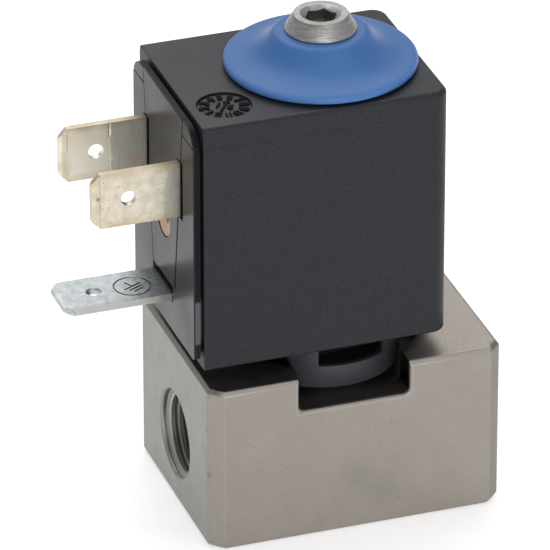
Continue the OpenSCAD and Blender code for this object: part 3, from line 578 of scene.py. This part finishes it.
def paintEarthTab(tree, shader, tone, layers):
    look = earthTabMarks
    x, y, z = pointMm(tree)
    turned = addNode(tree, "ShaderNodeCombineXYZ")
    slant = mathNode(tree, "MULTIPLY", x, look["scratchSlant"])
    tree.links.new(mathNode(tree, "MULTIPLY", x, look["scratchAlong"]), turned.inputs[0])
    tree.links.new(mathNode(tree, "MULTIPLY_ADD", y, look["scratchAcross"], slant), turned.inputs[1])
    noise = addNode(tree, "ShaderNodeTexNoise", Scale=1.0, Detail=look["scratchDetail"])
    tree.links.new(turned.outputs[0], noise.inputs["Vector"])
    scratch = mapRange(tree, noise.outputs["Fac"], *look["scratchRange"])
    layers.append((scratch, look["scratchDepth"]))
    tone = lay(tree, tone, scratch, look, "scratch")
    root = mapRange(tree, x, *look["rootX"], smooth=True)
    tone = lay(tree, tone, root, look, "root")
    fine = useGroup(tree, "noise", **look["fine"])
    dirt = product(tree, fine, mapRange(tree, root, 0.0, 1.0, *look["fineRange"]))
    tone = lay(tree, tone, dirt, look, "fine")
    # painted shade in the stamped sign, weaker towards the front
    fromSign = distanceNode(tree, x, y, earthSign["centre"])
    sign = product(tree, mapRange(tree, fromSign, *look["signReach"], 1.0, 0.0),
                   band(tree, z, *look["signZ"], look["signSoft"]))
    ahead = mathNode(tree, "SUBTRACT", y, earthSign["centre"][1])
    rubbed = mapRange(tree, ahead, *look["rubbedY"], *look["rubbedShare"], smooth=True)
    tone = lay(tree, tone, product(tree, sign, rubbed), look, "sign")
    # painted highlight on the back right of the sign
    bright = product(tree, sign, mapRange(tree, ahead, *look["brightY"], smooth=True),
                     mapRange(tree, x, *look["brightX"]))
    tone = lay(tree, tone, bright, look, "bright")
    across = mathNode(tree, "ABSOLUTE", y)
    tone = lay(tree, tone, mapRange(tree, across, *look["sideY"]), look, "side")
    edge = product(tree, band(tree, across, *look["edgeY"], look["edgeSoft"]), mapRange(tree, fine, *look["edgeBreak"]))
    tone = lay(tree, tone, edge, look, "edge")
    return paintInSlot(tree, shader, x, tone, look["slotTone"])


finish["earth_tab"] = layeredMaterial("zincPlate", earthTabLook, paintEarthTab)


# coil: moulded plastic with a mould line under the top, painted light on the dial's floor and the left of the top face,
# and painted shade on the dial's digits and the wall behind the pad
coilLook = dict(
    shine=0.32, dark=(0.0178, 0.0202, 0.0248), light=(0.0224, 0.0252, 0.0302), roughness=(0.45, 0.53),
    cloudSize=6.0, grainSize=0.2, grainDepth=0.010, grainShare=0.95, grainColour=(0.004, 0.005, 0.007),
    edgeRadius=0.2, edgeTone=(0.040, 0.043, 0.048), edgeLift=0.5,
    speckSpacing=0.8, speckSize=0.1, speckShare=0.12, speckDepth=0.004, speckLift=0.4, speckTone=(0.17, 0.17, 0.17))
coilMarks = dict(
    wallX=(-16.55, -16.50), wallY=(8.8, 9.4), wallZ=(23.6, 48.4), wallSoft=0.3, wallShine=0.3,
    wallTone=(0.040, 0.042, 0.044),
    seam=dict(Size=0.9, Detail=3.0, Contrast=0.36), seamZ=(47.38, 47.46), seamSoft=0.02, seamLeast=0.3,
    seamDepth=-0.03, seamShare=0.8, seamTone=(0.006, 0.0065, 0.007),
    dialAt=(-12.7, -5.85), dialReach=(2.90, 2.96), dialSoft=0.005, floorZ=(48.0, 49.83), floorShare=0.7,
    floorShine=(0.32, 0.25), floorTone=(0.058, 0.060, 0.064),
    digitZ=(49.57, 49.83), digitShare=0.9, digitShine=0.1, digitTone=(0.002, 0.002, 0.0025),
    topZ=(49.76, 49.82), topX=(-16.5, 0.0), topShare=0.9, topTone=(0.036, 0.037, 0.041))


def paintCoil(tree, shader, tone, layers):
    look = coilMarks
    x, y, z = pointMm(tree)
    wall = product(tree, mapRange(tree, x, *look["wallX"], 1.0, 0.0),
                   mapRange(tree, mathNode(tree, "ABSOLUTE", y), *look["wallY"], 1.0, 0.0),
                   band(tree, z, *look["wallZ"], look["wallSoft"]))
    # painted shade on the wall behind the pad: a flat grey with its shine cut
    tone = lay(tree, tone, wall, look, "wall")
    broken = mapRange(tree, useGroup(tree, "noise", **look["seam"]), 0.0, 1.0, look["seamLeast"], 1.0)
    seam = product(tree, band(tree, z, *look["seamZ"], look["seamSoft"]), broken)
    layers.append((seam, look["seamDepth"]))
    tone = lay(tree, tone, seam, look, "seam")
    inset = mapRange(tree, distanceNode(tree, x, y, look["dialAt"]), *look["dialReach"], 1.0, 0.0)
    floor = product(tree, inset, band(tree, z, *look["floorZ"], look["dialSoft"]))
    digits = product(tree, inset, band(tree, z, *look["digitZ"], look["dialSoft"]))
    # painted light on the dial's floor, a lighter and duller tone
    tone = lay(tree, tone, floor, look, "floor")
    top = product(tree, mapRange(tree, z, *look["topZ"]), mapRange(tree, x, *look["topX"], 1.0, 0.0))
    # painted light: the left part of the top face lighter
    tone = lay(tree, tone, top, look, "top")
    setShine(tree, shader, product(tree, mapRange(tree, wall, 0.0, 1.0, 1.0, look["wallShine"]),
                                   mapRange(tree, floor, 0.0, 1.0, *look["floorShine"]),
                                   mapRange(tree, digits, 0.0, 1.0, 1.0, look["digitShine"])))
    # painted shade: the dial's digits nearly black with little shine
    return lay(tree, tone, digits, look, "digit")


finish["coil_plastic"] = layeredMaterial("coilMoulding", coilLook, paintCoil)


# terminal pad: smoother moulding with fine upright lines, painted shade in its grooves and slots and along a framing
# line in front, and shine falling off towards the top
padLook = dict(coilLook, shine=0.5, dark=(0.0125, 0.0135, 0.0155), light=(0.0165, 0.0177, 0.0200),
               roughness=(0.26, 0.36), grainDepth=0.003, speckShare=0.08)
padMarks = dict(
    lines=dict(Size=0.22, Detail=3.0, Contrast=0.3, Stretch=60.0), linesDepth=0.003, linesShare=0.25,
    linesTone=(0.026, 0.027, 0.028), shineZ=(24.0, 34.0), shine=(0.30, 0.195), shineColour=(0.90, 0.96, 1.0),
    sunkX=(-17.58, -17.45), sunkShine=0.5, sunkTone=(0.006, 0.007, 0.009),
    slotZ=(24.5, 29.5), slotSoft=0.2, slotTone=(0.10, 0.105, 0.11),
    frameSlope=0.139, frameAt=-0.066, frameReach=(0.19, 0.30), frameFoot=(27.8, 28.1), frameTop=(40.0, 41.0),
    frameFade=(0.9, 0.45), frameShine=0.05, frameTone=(0.003, 0.003, 0.0035))


def paintPad(tree, shader, tone, layers):
    look = padMarks
    x, y, z = pointMm(tree)
    lines = useGroup(tree, "noise", **look["lines"])
    layers.append((lines, look["linesDepth"]))
    tone = lay(tree, tone, lines, look, "lines")
    # painted shade where the pad lies deeper than its face, a lighter painted shade in the earth tab's slot
    sunk = mapRange(tree, x, *look["sunkX"])
    slot = product(tree, sunk, band(tree, z, *look["slotZ"], look["slotSoft"]))
    # painted shade along the framing line, wider than its groove
    slant = mathNode(tree, "MULTIPLY_ADD", z, look["frameSlope"], y)
    away = mathNode(tree, "ABSOLUTE", mathNode(tree, "SUBTRACT", slant, look["frameAt"]))
    frameLine = product(tree, mapRange(tree, away, *look["frameReach"], 1.0, 0.0),
                        mapRange(tree, z, *look["frameFoot"]),
                        mapRange(tree, z, *look["frameTop"], *look["frameFade"]))
    # painted fading of the reflection: shine lower towards the top
    setShine(tree, shader, product(tree, mapRange(tree, z, *look["shineZ"], *look["shine"]),
                                   mapRange(tree, sunk, 0.0, 1.0, 1.0, look["sunkShine"]),
                                   mapRange(tree, frameLine, 0.0, 1.0, 1.0, look["frameShine"])))
    feed(tree, shader.inputs["Specular Tint"], look["shineColour"])
    tone = lay(tree, tone, sunk, look, "sunk")
    tone = lay(tree, tone, slot, look, "slot")
    return lay(tree, tone, frameLine, look, "frame")


finish["pad_plastic"] = layeredMaterial("padMoulding", padLook, paintPad)


# retaining ring: unlit inside its slots and beside the notch
ringLook = dict(coilLook, dark=(0.060, 0.065, 0.073), light=(0.069, 0.075, 0.083), roughness=(0.42, 0.5),
                grainShare=0.4)
ringMarks = dict(insideReach=(7.9, 8.4), insideShare=0.85, besideSlant=0.35, besideX=(0.40, 1.05), shine=(0.32, 0.05),
                 unlitTone=(0.002, 0.002, 0.0025))


def paintRing(tree, shader, tone, layers):
    look = ringMarks
    x, y, z = pointMm(tree)
    inside = mapRange(tree, distanceNode(tree, x, y), *look["insideReach"], look["insideShare"], 0.0)
    slant = mathNode(tree, "MULTIPLY_ADD", z, look["besideSlant"], x)
    beside = mapRange(tree, slant, *look["besideX"], 1.0, 0.0, smooth=True)
    # painted shade inside the slots and beside the notch, with the shine taken away
    unlit = mathNode(tree, "MAXIMUM", inside, beside)
    setShine(tree, shader, mapRange(tree, unlit, 0.0, 1.0, *look["shine"]))
    return lay(tree, tone, unlit, look, "unlit")


finish["ring_plastic"] = layeredMaterial("ringMoulding", ringLook, paintRing)


# seals of plain rubber
rubberLook = dict(coilLook, dark=(0.012, 0.012, 0.012), light=(0.018, 0.018, 0.018), roughness=(0.6, 0.75))
finish["seal_rubber"] = layeredMaterial("sealRubber", rubberLook)


# cap: blue plastic, with a painted highlight round the rim
capLook = dict(
    shine=0.26, dark=(0.043, 0.133, 0.352), light=(0.052, 0.148, 0.380), roughness=(0.34, 0.42),
    cloudSize=5.0, grainSize=0.1, grainDepth=0.003, grainShare=0.0,
    edgeRadius=0.15, edgeTone=(0.09, 0.2, 0.44), edgeLift=0.3,
    speckSpacing=0.75, speckSize=0.1, speckShare=0.1, speckDepth=0.003, speckLift=0.35, speckTone=(0.42, 0.5, 0.6))
capMarks = dict(rimReach=(9.9, 10.2), rimShare=0.6, rimTone=(0.085, 0.215, 0.50))


def paintCap(tree, shader, tone, layers):
    look = capMarks
    x, y = pointMm(tree)[:2]
    rim = mapRange(tree, distanceNode(tree, x, y), *look["rimReach"], smooth=True)
    # painted highlight round the rim
    return lay(tree, tone, rim, look, "rim")


finish["cap_plastic"] = layeredMaterial("capBlue", capLook, paintCap)


# spool: beige plastic with a burnt spot on the boss in the pad's window
spoolLook = dict(
    shine=0.3, dark=(0.50, 0.35, 0.21), light=(0.70, 0.52, 0.35), roughness=(0.45, 0.6),
    cloudSize=1.2, grainSize=0.15, grainDepth=0.006, grainShare=0.1,
    edgeRadius=0.15, edgeTone=(0.74, 0.58, 0.40), edgeLift=0.3,
    speckSpacing=0.9, speckSize=0.3, speckShare=0.3, speckDepth=-0.01, speckLift=0.6, speckTone=(0.12, 0.07, 0.035))
spoolMarks = dict(
    heartAt=(-0.4, 34.4), heartReach=(0.8, 1.7), heartShare=0.75, heartTone=(0.56, 0.33, 0.135),
    ragged=dict(Size=0.5, Detail=4.0, Contrast=0.3), raggedReach=0.4,
    burntAt=(-1.35, 35.1), burntReach=(0.6, 0.9), burntShare=0.92, burntTone=(0.05, 0.025, 0.01),
    dullReach=(0.4, 0.7), dullShine=(0.05, 0.3))


def paintSpool(tree, shader, tone, layers):
    look = spoolMarks
    y, z = pointMm(tree)[1:]
    away = distanceNode(tree, y, z, look["heartAt"])
    heart = mapRange(tree, away, *look["heartReach"], 1.0, 0.0, smooth=True)
    tone = lay(tree, tone, heart, look, "heart")
    ragged = useGroup(tree, "noise", **look["ragged"])
    fromBurnt = distanceNode(tree, y, z, look["burntAt"])
    setShine(tree, shader, mapRange(tree, fromBurnt, *look["dullReach"], *look["dullShine"], smooth=True))
    away = mathNode(tree, "MULTIPLY_ADD", ragged, look["raggedReach"], fromBurnt)
    burnt = mapRange(tree, away, *look["burntReach"], 1.0, 0.0, smooth=True)
    return lay(tree, tone, burnt, look, "burnt")


finish["spool_plastic"] = layeredMaterial("spoolMoulding", spoolLook, paintSpool)


# materials onto the CAD pieces
slotOf = {row["node"]: row["material_slot"] for row in record["subparts"]}
bodyOf = {node: body for body, members in record["behaviour"]["bodies"].items() for node in members}
for nodeName, cadObject in nodes.items():
    cadObject.data.materials.clear()
    cadObject.data.materials.append(finish[slotOf[nodeName]])
print("materials made:", len(finish))


# piece helpers

def addPiece(name, mesh, body, slotName):
    piece = bpy.data.objects.new(name, mesh)
    scene.collection.objects.link(piece)
    mesh.materials.clear()
    mesh.materials.append(finish[slotName])
    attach(piece, body)
    return piece


def applyModifiers(piece):
    bpy.context.view_layer.update()
    evaluated = piece.evaluated_get(bpy.context.evaluated_depsgraph_get())
    mesh = bpy.data.meshes.new_from_object(evaluated)
    piece.modifiers.clear()
    piece.data = mesh


def shadeByAngle(mesh, degrees):
    for face in mesh.polygons:
        face.use_smooth = True
    mesh.set_sharp_from_angle(angle=math.radians(degrees))


def takeMesh(work, name):
    mesh = bpy.data.meshes.new(name)
    work.to_mesh(mesh)
    work.free()
    return mesh


def addPrism(work, outline, low, high, matrix=Matrix.Identity(4)):  # closed prism over a flat outline
    rings = [[work.verts.new(matrix @ Vector((x * mm, y * mm, z * mm))) for x, y in outline] for z in (low, high)]
    work.faces.new(list(reversed(rings[0])))
    work.faces.new(rings[1])
    for i in range(len(outline)):
        k = (i + 1) % len(outline)
        work.faces.new((rings[0][i], rings[0][k], rings[1][k], rings[1][i]))


def addRing(work, inner, outer, low, high, matrix, steps):  # closed ring with a square section
    rings = []
    for i in range(steps):
        angle = 2 * math.pi * i / steps
        rings.append([work.verts.new(matrix @ Vector((r * math.cos(angle) * mm, r * math.sin(angle) * mm, z * mm)))
                      for r, z in ((inner, low), (outer, low), (outer, high), (inner, high))])
    for i, ring in enumerate(rings):
        after = rings[(i + 1) % steps]
        for k in range(4):
            work.faces.new((ring[k], after[k], after[(k + 1) % 4], ring[(k + 1) % 4]))


def sweepMesh(work, rings, name, degrees):  # closed solid through a row of rings
    for one, two in zip(rings, rings[1:]):
        for i in range(len(one)):
            k = (i + 1) % len(one)
            work.faces.new((one[i], one[k], two[k], two[i]))
    work.faces.new(rings[0])
    work.faces.new(rings[-1])
    bmesh.ops.recalc_face_normals(work, faces=work.faces)
    mesh = takeMesh(work, name)
    shadeByAngle(mesh, degrees)
    return mesh


# soft edges on the CAD pieces in view, lengths in millimetres and angles in degrees
softEdges = dict(valve_body=0.13, coil_housing=0.12, terminal_panel=0.04, retaining_ring=0.12, retaining_cap=0.05,
                 line_terminal_front=0.06, line_terminal_back=0.06, earth_terminal=0.06, cap_screw=0.03)
ownSharpFrom = dict(cap_screw=22)
edgeLook = dict(weld=0.002, flat=0.3, sharpFrom=32, segments=2, sameFlat=0.99996, smallPatch=0.6, splitFrom=50)


def flatRegions(work):  # total area of the flat patch that each face belongs to
    area = {}
    for seed in work.faces:
        if seed in area:
            continue
        patch, todo = {seed}, [seed]
        while todo:
            for edge in todo.pop().edges:
                for face in edge.link_faces:
                    if face not in patch and face.normal.dot(seed.normal) > edgeLook["sameFlat"]:
                        patch.add(face)
                        todo.append(face)
        total = sum(face.calc_area() for face in patch)
        area.update((face, total) for face in patch)
    return area


def smoothCorners(mesh):  # corner normals led by the larger flat patch, split at sharper edges
    work = bmesh.new()
    work.from_mesh(mesh)
    work.normal_update()
    least = edgeLook["smallPatch"] * mm * mm
    area = {face: max(total, least) for face, total in flatRegions(work).items()}
    limit = math.cos(math.radians(edgeLook["splitFrom"]))
    normals = []
    for face in work.faces:
        for corner in face.loops:
            near = [other for other in corner.vert.link_faces if other.normal.dot(face.normal) > limit]
            total = sum((other.normal * area[other] ** 2 for other in near), Vector())
            normals.append(total.normalized() if total.length > 0 else face.normal.copy())
    work.free()
    for face in mesh.polygons:
        face.use_smooth = True
    mesh.normals_split_custom_set(normals)


def carve(mesh, cutter):
    piece, tool = (bpy.data.objects.new(name, data) for name, data in (("carved", mesh), ("cutter", cutter)))
    for thing in (piece, tool):
        scene.collection.objects.link(thing)
    cut = piece.modifiers.new("carving", "BOOLEAN")
    cut.operation = "DIFFERENCE"
    cut.solver = "EXACT"
    cut.object = tool
    applyModifiers(piece)
    carved = piece.data
    for thing in (piece, tool):
        bpy.data.objects.remove(thing)
    return carved


def softenNode(nodeName, width, edgeWidth=None, cutter=None):  # the CAD piece with its sharp edges broken
    work = bmesh.new()
    work.from_mesh(nodes[nodeName].data)
    bmesh.ops.remove_doubles(work, verts=work.verts, dist=edgeLook["weld"] * mm)
    bmesh.ops.dissolve_limit(work, angle_limit=math.radians(edgeLook["flat"]), verts=work.verts, edges=work.edges)
    if cutter:
        carved = carve(takeMesh(work, nodeName + "Carved"), cutter)
        work = bmesh.new()
        work.from_mesh(carved)
    widths = [edgeWidth(edge, width) if edgeWidth else width for edge in work.edges]
    widest = max(widths)
    weight = work.edges.layers.float.new("bevel_weight_edge")
    sharp = math.radians(ownSharpFrom.get(nodeName, edgeLook["sharpFrom"]))
    for edge, ownWidth in zip(work.edges, widths):
        if len(edge.link_faces) == 2 and edge.calc_face_angle() > sharp:
            edge[weight] = ownWidth / widest
    mesh = takeMesh(work, nodeName + "Soft")
    piece = addPiece(nodeName + "_soft", mesh, bodyOf[nodeName], slotOf[nodeName])
    bevel = piece.modifiers.new("edges", "BEVEL")
    bevel.width = widest * mm
    bevel.segments = edgeLook["segments"]
    bevel.limit_method = "WEIGHT"
    bevel.use_clamp_overlap = edgeWidth is None
    applyModifiers(piece)
    smoothCorners(piece.data)
    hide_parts(nodeName)


# wider edge round the notch's outline in the block's front face
notchEdge = dict(width=0.35, frontY=-12.4, near=0.01, lowZ=15, highZ=19, reachX=7)


def notchWidth(edge, width):
    look = notchEdge
    onOutline = all(abs(v.y - look["frontY"]) < look["near"] and look["lowZ"] < v.z < look["highZ"]
                    and abs(v.x) < look["reachX"] for v in (vert.co / mm for vert in edge.verts))
    return look["width"] if onOutline else width


# wider edges on the corners of a tab's tip
tipCorner = dict(width=0.3, straight=0.99, reach=1.2)


def cornerWidth(edge, width, tip, across):
    look = tipCorner
    one, two = (v.co / mm for v in edge.verts)
    step = [abs(value) for value in one - two]
    onCorner = step[across] > look["straight"] * sum(step) and max(one.x, two.x) < tip + look["reach"]
    return look["width"] if onCorner else width


# stamped earth sign, its lines left sharp

def bar(length, middle, half):
    left, right, low, high = -length / 2, length / 2, middle - half, middle + half
    return [(left, low), (right, low), (right, high), (left, high)]


def earthCutter():
    look = earthSign
    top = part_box("earth_terminal")[1].z / mm
    low, high = top - look["depth"], top + look["over"]
    half = look["line"] / 2
    place = Matrix.Translation((look["centre"][0] * mm, look["centre"][1] * mm, 0))
    turned = place @ Matrix.Rotation(math.radians(look["turn"]), 4, "Z")
    work = bmesh.new()
    addRing(work, look["circle"] - half, look["circle"] + half, low, high, place, look["steps"])
    for index, length in enumerate(look["bars"]):
        addPrism(work, bar(length, -index * look["gap"], half), low, high, turned)
    stem = bar(look["line"], half + look["stemGap"] + look["stem"] / 2, look["stem"] / 2)
    addPrism(work, stem, low, high, turned)
    bmesh.ops.recalc_face_normals(work, faces=work.faces)
    return takeMesh(work, "earthCutter")


def earthWidth(edge, width):
    look = earthSign
    low, high = (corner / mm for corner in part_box("earth_terminal"))
    points = [v.co / mm for v in edge.verts]
    carved = all((v.xy - Vector(look["centre"])).length < look["sharpReach"] and v.z > high.z - look["sharpDepth"]
                 for v in points)
    return 0.0 if carved else cornerWidth(edge, width, low.x, 2)


# crease across the back line tab: deep at the top, shorter at the foot, faint between
crease = dict(x=-21.75, width=0.42, depth=0.13, outside=0.02, top=(1.7, 0.1), foot=(0.3, 1.1), footShare=0.8,
              middle=(1.2, 1.8), middleShare=0.25, sharpX=0.25, sharpY=(-0.1, 0.2))


def creaseCutter():
    look = crease
    low, high = (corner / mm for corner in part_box("line_terminal_back"))
    lengths = ((high.z - look["top"][0], high.z + look["top"][1], 1.0),
               (low.z + look["foot"][0], low.z + look["foot"][1], look["footShare"]),
               (low.z + look["middle"][0], high.z - look["middle"][1], look["middleShare"]))
    work = bmesh.new()
    for start, end, share in lengths:
        half = look["width"] / 2 * share
        face = low.y - look["outside"]
        addPrism(work, [(look["x"] - half, face), (look["x"] + half, face),
                        (look["x"], low.y + look["depth"] * share)], start, end)
    bmesh.ops.recalc_face_normals(work, faces=work.faces)
    return takeMesh(work, "creaseCutter")


def creaseWidth(edge, width):
    look = crease
    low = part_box("line_terminal_back")[0] / mm
    points = [v.co / mm for v in edge.verts]
    near, far = (low.y + value for value in look["sharpY"])
    carved = all(abs(v.x - look["x"]) < look["sharpX"] and near < v.y < far for v in points)
    return 0.0 if carved else cornerWidth(edge, width, low.x, 1)


ownWidths = dict(valve_body=notchWidth, earth_terminal=earthWidth, line_terminal_front=creaseWidth,
                 line_terminal_back=creaseWidth)
cutters = dict(earth_terminal=earthCutter(), line_terminal_back=creaseCutter())
for nodeName, width in softEdges.items():
    softenNode(nodeName, width, ownWidths.get(nodeName), cutters.get(nodeName))
print("edges softened:", ", ".join(softEdges))


# pipe threads in the two ports, 28 turns to the inch
portThread = dict(pitch=0.907, crest=0.14, depth=0.55, embed=0.02, start=0.62, end=7.7, steps=64, flank=0.47,
                  fadeSteps=14, least=0.02, smooth=30)


def threadMesh(mountName):
    look = portThread
    port = next(row for row in record["mounts"] if row["name"] == mountName)
    wall = port["dims"]["r_mm"]
    height = port["pos_m"][2]
    sign = port["axis"][0]
    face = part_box("valve_body")[1].x / mm
    half = look["pitch"] * look["flank"]
    count = int((look["end"] - look["start"]) / look["pitch"] * look["steps"])
    work = bmesh.new()
    rings = []
    for index in range(count + 1):
        angle = 2 * math.pi * index / look["steps"] + math.pi
        depth = look["start"] + look["pitch"] * index / look["steps"]
        fade = min(1.0, index / look["fadeSteps"], (count - index) / look["fadeSteps"])
        inner = wall - look["depth"] * max(look["least"], fade)
        outer = wall + look["embed"]
        section = ((depth - half, outer), (depth - look["crest"] / 2, inner),
                   (depth + look["crest"] / 2, inner), (depth + half, outer))
        rings.append([work.verts.new((sign * (face - along) * mm, radius * math.cos(angle) * mm,
                                      height + radius * math.sin(angle) * mm)) for along, radius in section])
    return sweepMesh(work, rings, "portThread", look["smooth"])


for mountName, label in (("port_inlet", "inlet_thread"), ("port_outlet", "outlet_thread")):
    addPiece(label, threadMesh(mountName), "valve", "body_metal")
print("port threads cut")


# month dial moulded into the round inset on the coil
dialLook = dict(centre=(-12.7, -5.85), sink=0.3, ring=2.1, turn=145.0, step=30, digit=1.5, bold=0.068, rise=0.2,
                narrow=0.8, narrowPair=0.56, inner=((1, -0.68), (6, 0.68)), innerSize=0.8, aim=-35,
                arrow=1.25, shaft=0.22, head=0.4, weld=0.0002, sliver=0.0005, smooth=30,
                curveSteps=3)  # more steps make the thickened outlines cross themselves


def raiseFaces(work, faces, rise):  # closed solid over flat faces
    raised = bmesh.ops.extrude_face_region(work, geom=faces)
    top = [item for item in raised["geom"] if isinstance(item, bmesh.types.BMVert)]
    bmesh.ops.translate(work, verts=top, vec=(0, 0, rise * mm))


def textMesh(word, size):
    look = dialLook
    curve = bpy.data.curves.new("dialDigit", "FONT")
    curve.body = word
    curve.size = size * mm
    curve.offset = look["bold"] * mm
    curve.resolution_u = look["curveSteps"]
    curve.align_x = "CENTER"
    curve.align_y = "CENTER"
    holder = bpy.data.objects.new("dialDigit", curve)
    scene.collection.objects.link(holder)
    bpy.context.view_layer.update()
    work = bmesh.new()
    work.from_mesh(bpy.data.meshes.new_from_object(holder.evaluated_get(bpy.context.evaluated_depsgraph_get())))
    bpy.data.objects.remove(holder)
    bmesh.ops.remove_doubles(work, verts=work.verts, dist=look["weld"] * mm)
    bmesh.ops.dissolve_degenerate(work, dist=look["sliver"] * mm, edges=work.edges)
    raiseFaces(work, work.faces[:], look["rise"])
    return takeMesh(work, "dialDigit")


def addDigit(work, number, size, matrix):
    start = len(work.verts)
    work.from_mesh(textMesh(str(number), size))
    work.verts.ensure_lookup_table()
    bmesh.ops.transform(work, matrix=matrix, verts=work.verts[start:])


def dialMesh():
    look = dialLook
    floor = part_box("coil_housing")[1].z - look["sink"] * mm
    middle = Vector((look["centre"][0] * mm, look["centre"][1] * mm, floor))
    work = bmesh.new()
    for number in range(1, 13):
        turn = math.radians(look["turn"] - look["step"] * number)
        place = middle + Vector((-math.sin(turn), math.cos(turn), 0)) * look["ring"] * mm
        squeeze = Matrix.Diagonal((look["narrow"] if number < 10 else look["narrowPair"], 1, 1, 1))
        matrix = Matrix.Translation(place) @ Matrix.Rotation(turn, 4, "Z") @ squeeze
        addDigit(work, number, look["digit"], matrix)
    aim = Matrix.Translation(middle) @ Matrix.Rotation(math.radians(look["aim"]), 4, "Z")
    for number, side in look["inner"]:
        addDigit(work, number, look["digit"] * look["innerSize"], aim @ Matrix.Translation((side * mm, 0, 0)))
    long, half, head = look["arrow"] * mm, look["shaft"] * mm / 2, look["head"] * mm
    outline = [(-half, -long), (half, -long), (half, long - head), (head, long - head), (0, long),
               (-head, long - head), (-half, long - head)]
    arrow = work.faces.new([work.verts.new(aim @ Vector((x, y, 0))) for x, y in outline])
    raiseFaces(work, [arrow], look["rise"])
    bmesh.ops.recalc_face_normals(work, faces=work.faces)
    mesh = takeMesh(work, "monthDial")
    shadeByAngle(mesh, look["smooth"])
    return mesh


addPiece("month_dial", dialMesh(), "coil", "coil_plastic")
print("month dial raised")


# return spring of round wire, wound over the length of the CAD spring
springLook = dict(wire=0.4, turns=8, ringsPerTurn=24, sides=10, smooth=40)


def springMesh(low, high):
    look = springLook
    half = look["wire"] / 2
    reach = high.x / mm - half
    bottom, top = low.z / mm + half, high.z / mm - half
    count = look["turns"] * look["ringsPerTurn"]
    work = bmesh.new()
    rings = []
    for index in range(count + 1):
        angle = 2 * math.pi * index / look["ringsPerTurn"]
        ring = []
        for side in range(look["sides"]):
            tilt = 2 * math.pi * side / look["sides"]
            radius = reach + half * math.cos(tilt)
            height = bottom + (top - bottom) * index / count + half * math.sin(tilt)
            ring.append(work.verts.new((radius * math.cos(angle) * mm, radius * math.sin(angle) * mm, height * mm)))
        rings.append(ring)
    return sweepMesh(work, rings, "springWire", look["smooth"])


springLow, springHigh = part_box("return_spring")
spring = addPiece("return_spring_wire", springMesh(springLow, springHigh), bodyOf["return_spring"],
                  slotOf["return_spring"])
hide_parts("return_spring")
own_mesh(spring)


# stage, light and camera
floorLook = dict(size=3.0, height=0.00001, colour=(0.8, 0.8, 0.8), glow=0.43)


def floorMaterial():
    material = bpy.data.materials.new("paleFloor")
    material.use_nodes = True
    tree = material.node_tree
    tree.nodes.clear()
    out = addNode(tree, "ShaderNodeOutputMaterial")
    diffuse = addNode(tree, "ShaderNodeBsdfDiffuse", Color=(*floorLook["colour"], 1))
    glow = addNode(tree, "ShaderNodeEmission")
    path = addNode(tree, "ShaderNodeLightPath")
    seen = mathNode(tree, "MAXIMUM", path.outputs["Is Camera Ray"], path.outputs["Is Glossy Ray"])
    seen = mathNode(tree, "MAXIMUM", seen, path.outputs["Is Transmission Ray"])
    feed(tree, glow.inputs["Strength"], mathNode(tree, "MULTIPLY", seen, floorLook["glow"]))
    both = addNode(tree, "ShaderNodeAddShader")
    tree.links.new(diffuse.outputs[0], both.inputs[0])
    tree.links.new(glow.outputs[0], both.inputs[1])
    clear = addNode(tree, "ShaderNodeBsdfTransparent")
    side = addNode(tree, "ShaderNodeNewGeometry")
    either = addNode(tree, "ShaderNodeMixShader")
    tree.links.new(side.outputs["Backfacing"], either.inputs[0])
    tree.links.new(both.outputs[0], either.inputs[1])
    tree.links.new(clear.outputs[0], either.inputs[2])
    tree.links.new(either.outputs[0], out.inputs["Surface"])
    return material


def makeFloor():
    half = floorLook["size"] / 2
    mesh = bpy.data.meshes.new("floor")
    corners = [(-half, -half), (half, -half), (half, half), (-half, half)]
    mesh.from_pydata([(x, y, floorLook["height"]) for x, y in corners], [], [(0, 1, 2, 3)])
    floor = bpy.data.objects.new("floor", mesh)
    mesh.materials.append(floorMaterial())
    scene.collection.objects.link(floor)


worldLook = dict(colour=(1, 1, 1), strength=0.5)


def makeWorld():
    world = bpy.data.worlds.new("studio")
    scene.world = world
    world.use_nodes = True
    back = world.node_tree.nodes["Background"]
    back.inputs["Color"].default_value = (*worldLook["colour"], 1)
    back.inputs["Strength"].default_value = worldLook["strength"]


lampLook = [
    dict(name="frontPanel", place=(-0.14, -0.80, 0.22), aim=(0, 0, 0.03), size=0.5, power=2.6),
    dict(name="overhead", place=(0.05, 0.35, 0.70), aim=(0, 0, 0.03), size=0.7, power=3.0),
    dict(name="backPanel", place=(0.10, 0.80, 0.40), aim=(0, 0, 0.03), size=0.6, power=0.45),
    dict(name="topFront", place=(0.26, -0.44, 0.76), aim=(0, 0, 0.03), size=0.6, power=0.8),
]


def makeLamp(look):
    light = bpy.data.lights.new(look["name"], "AREA")
    light.shape = "SQUARE"
    light.size = look["size"]
    light.energy = look["power"]
    lamp = bpy.data.objects.new(look["name"], light)
    lamp.location = look["place"]
    lamp.rotation_euler = (Vector(look["aim"]) - Vector(look["place"])).to_track_quat("-Z", "Y").to_euler()
    scene.collection.objects.link(lamp)


cameraLook = dict(aim=(-0.00508, 0.0, 0.02534), distance=0.72697, azimuth=-19.113, elevation=28.493, lens=445.67,
                  sensor=36, nearest=0.05, farthest=20)


def makeCamera():
    camera = bpy.data.cameras.new("photoCamera")
    camera.lens = cameraLook["lens"]
    camera.sensor_width = cameraLook["sensor"]
    camera.sensor_fit = "HORIZONTAL"
    camera.clip_start = cameraLook["nearest"]
    camera.clip_end = cameraLook["farthest"]
    eye = bpy.data.objects.new("photoCamera", camera)
    azimuth = math.radians(cameraLook["azimuth"])
    elevation = math.radians(cameraLook["elevation"])
    back = Vector((math.sin(azimuth) * math.cos(elevation), -math.cos(azimuth) * math.cos(elevation),
                   math.sin(elevation)))
    eye.location = Vector(cameraLook["aim"]) + back * cameraLook["distance"]
    eye.rotation_euler = (-back).to_track_quat("-Z", "Y").to_euler()
    scene.collection.objects.link(eye)
    scene.camera = eye


makeFloor()
makeWorld()
for look in lampLook:
    makeLamp(look)
makeCamera()
print("stage set")
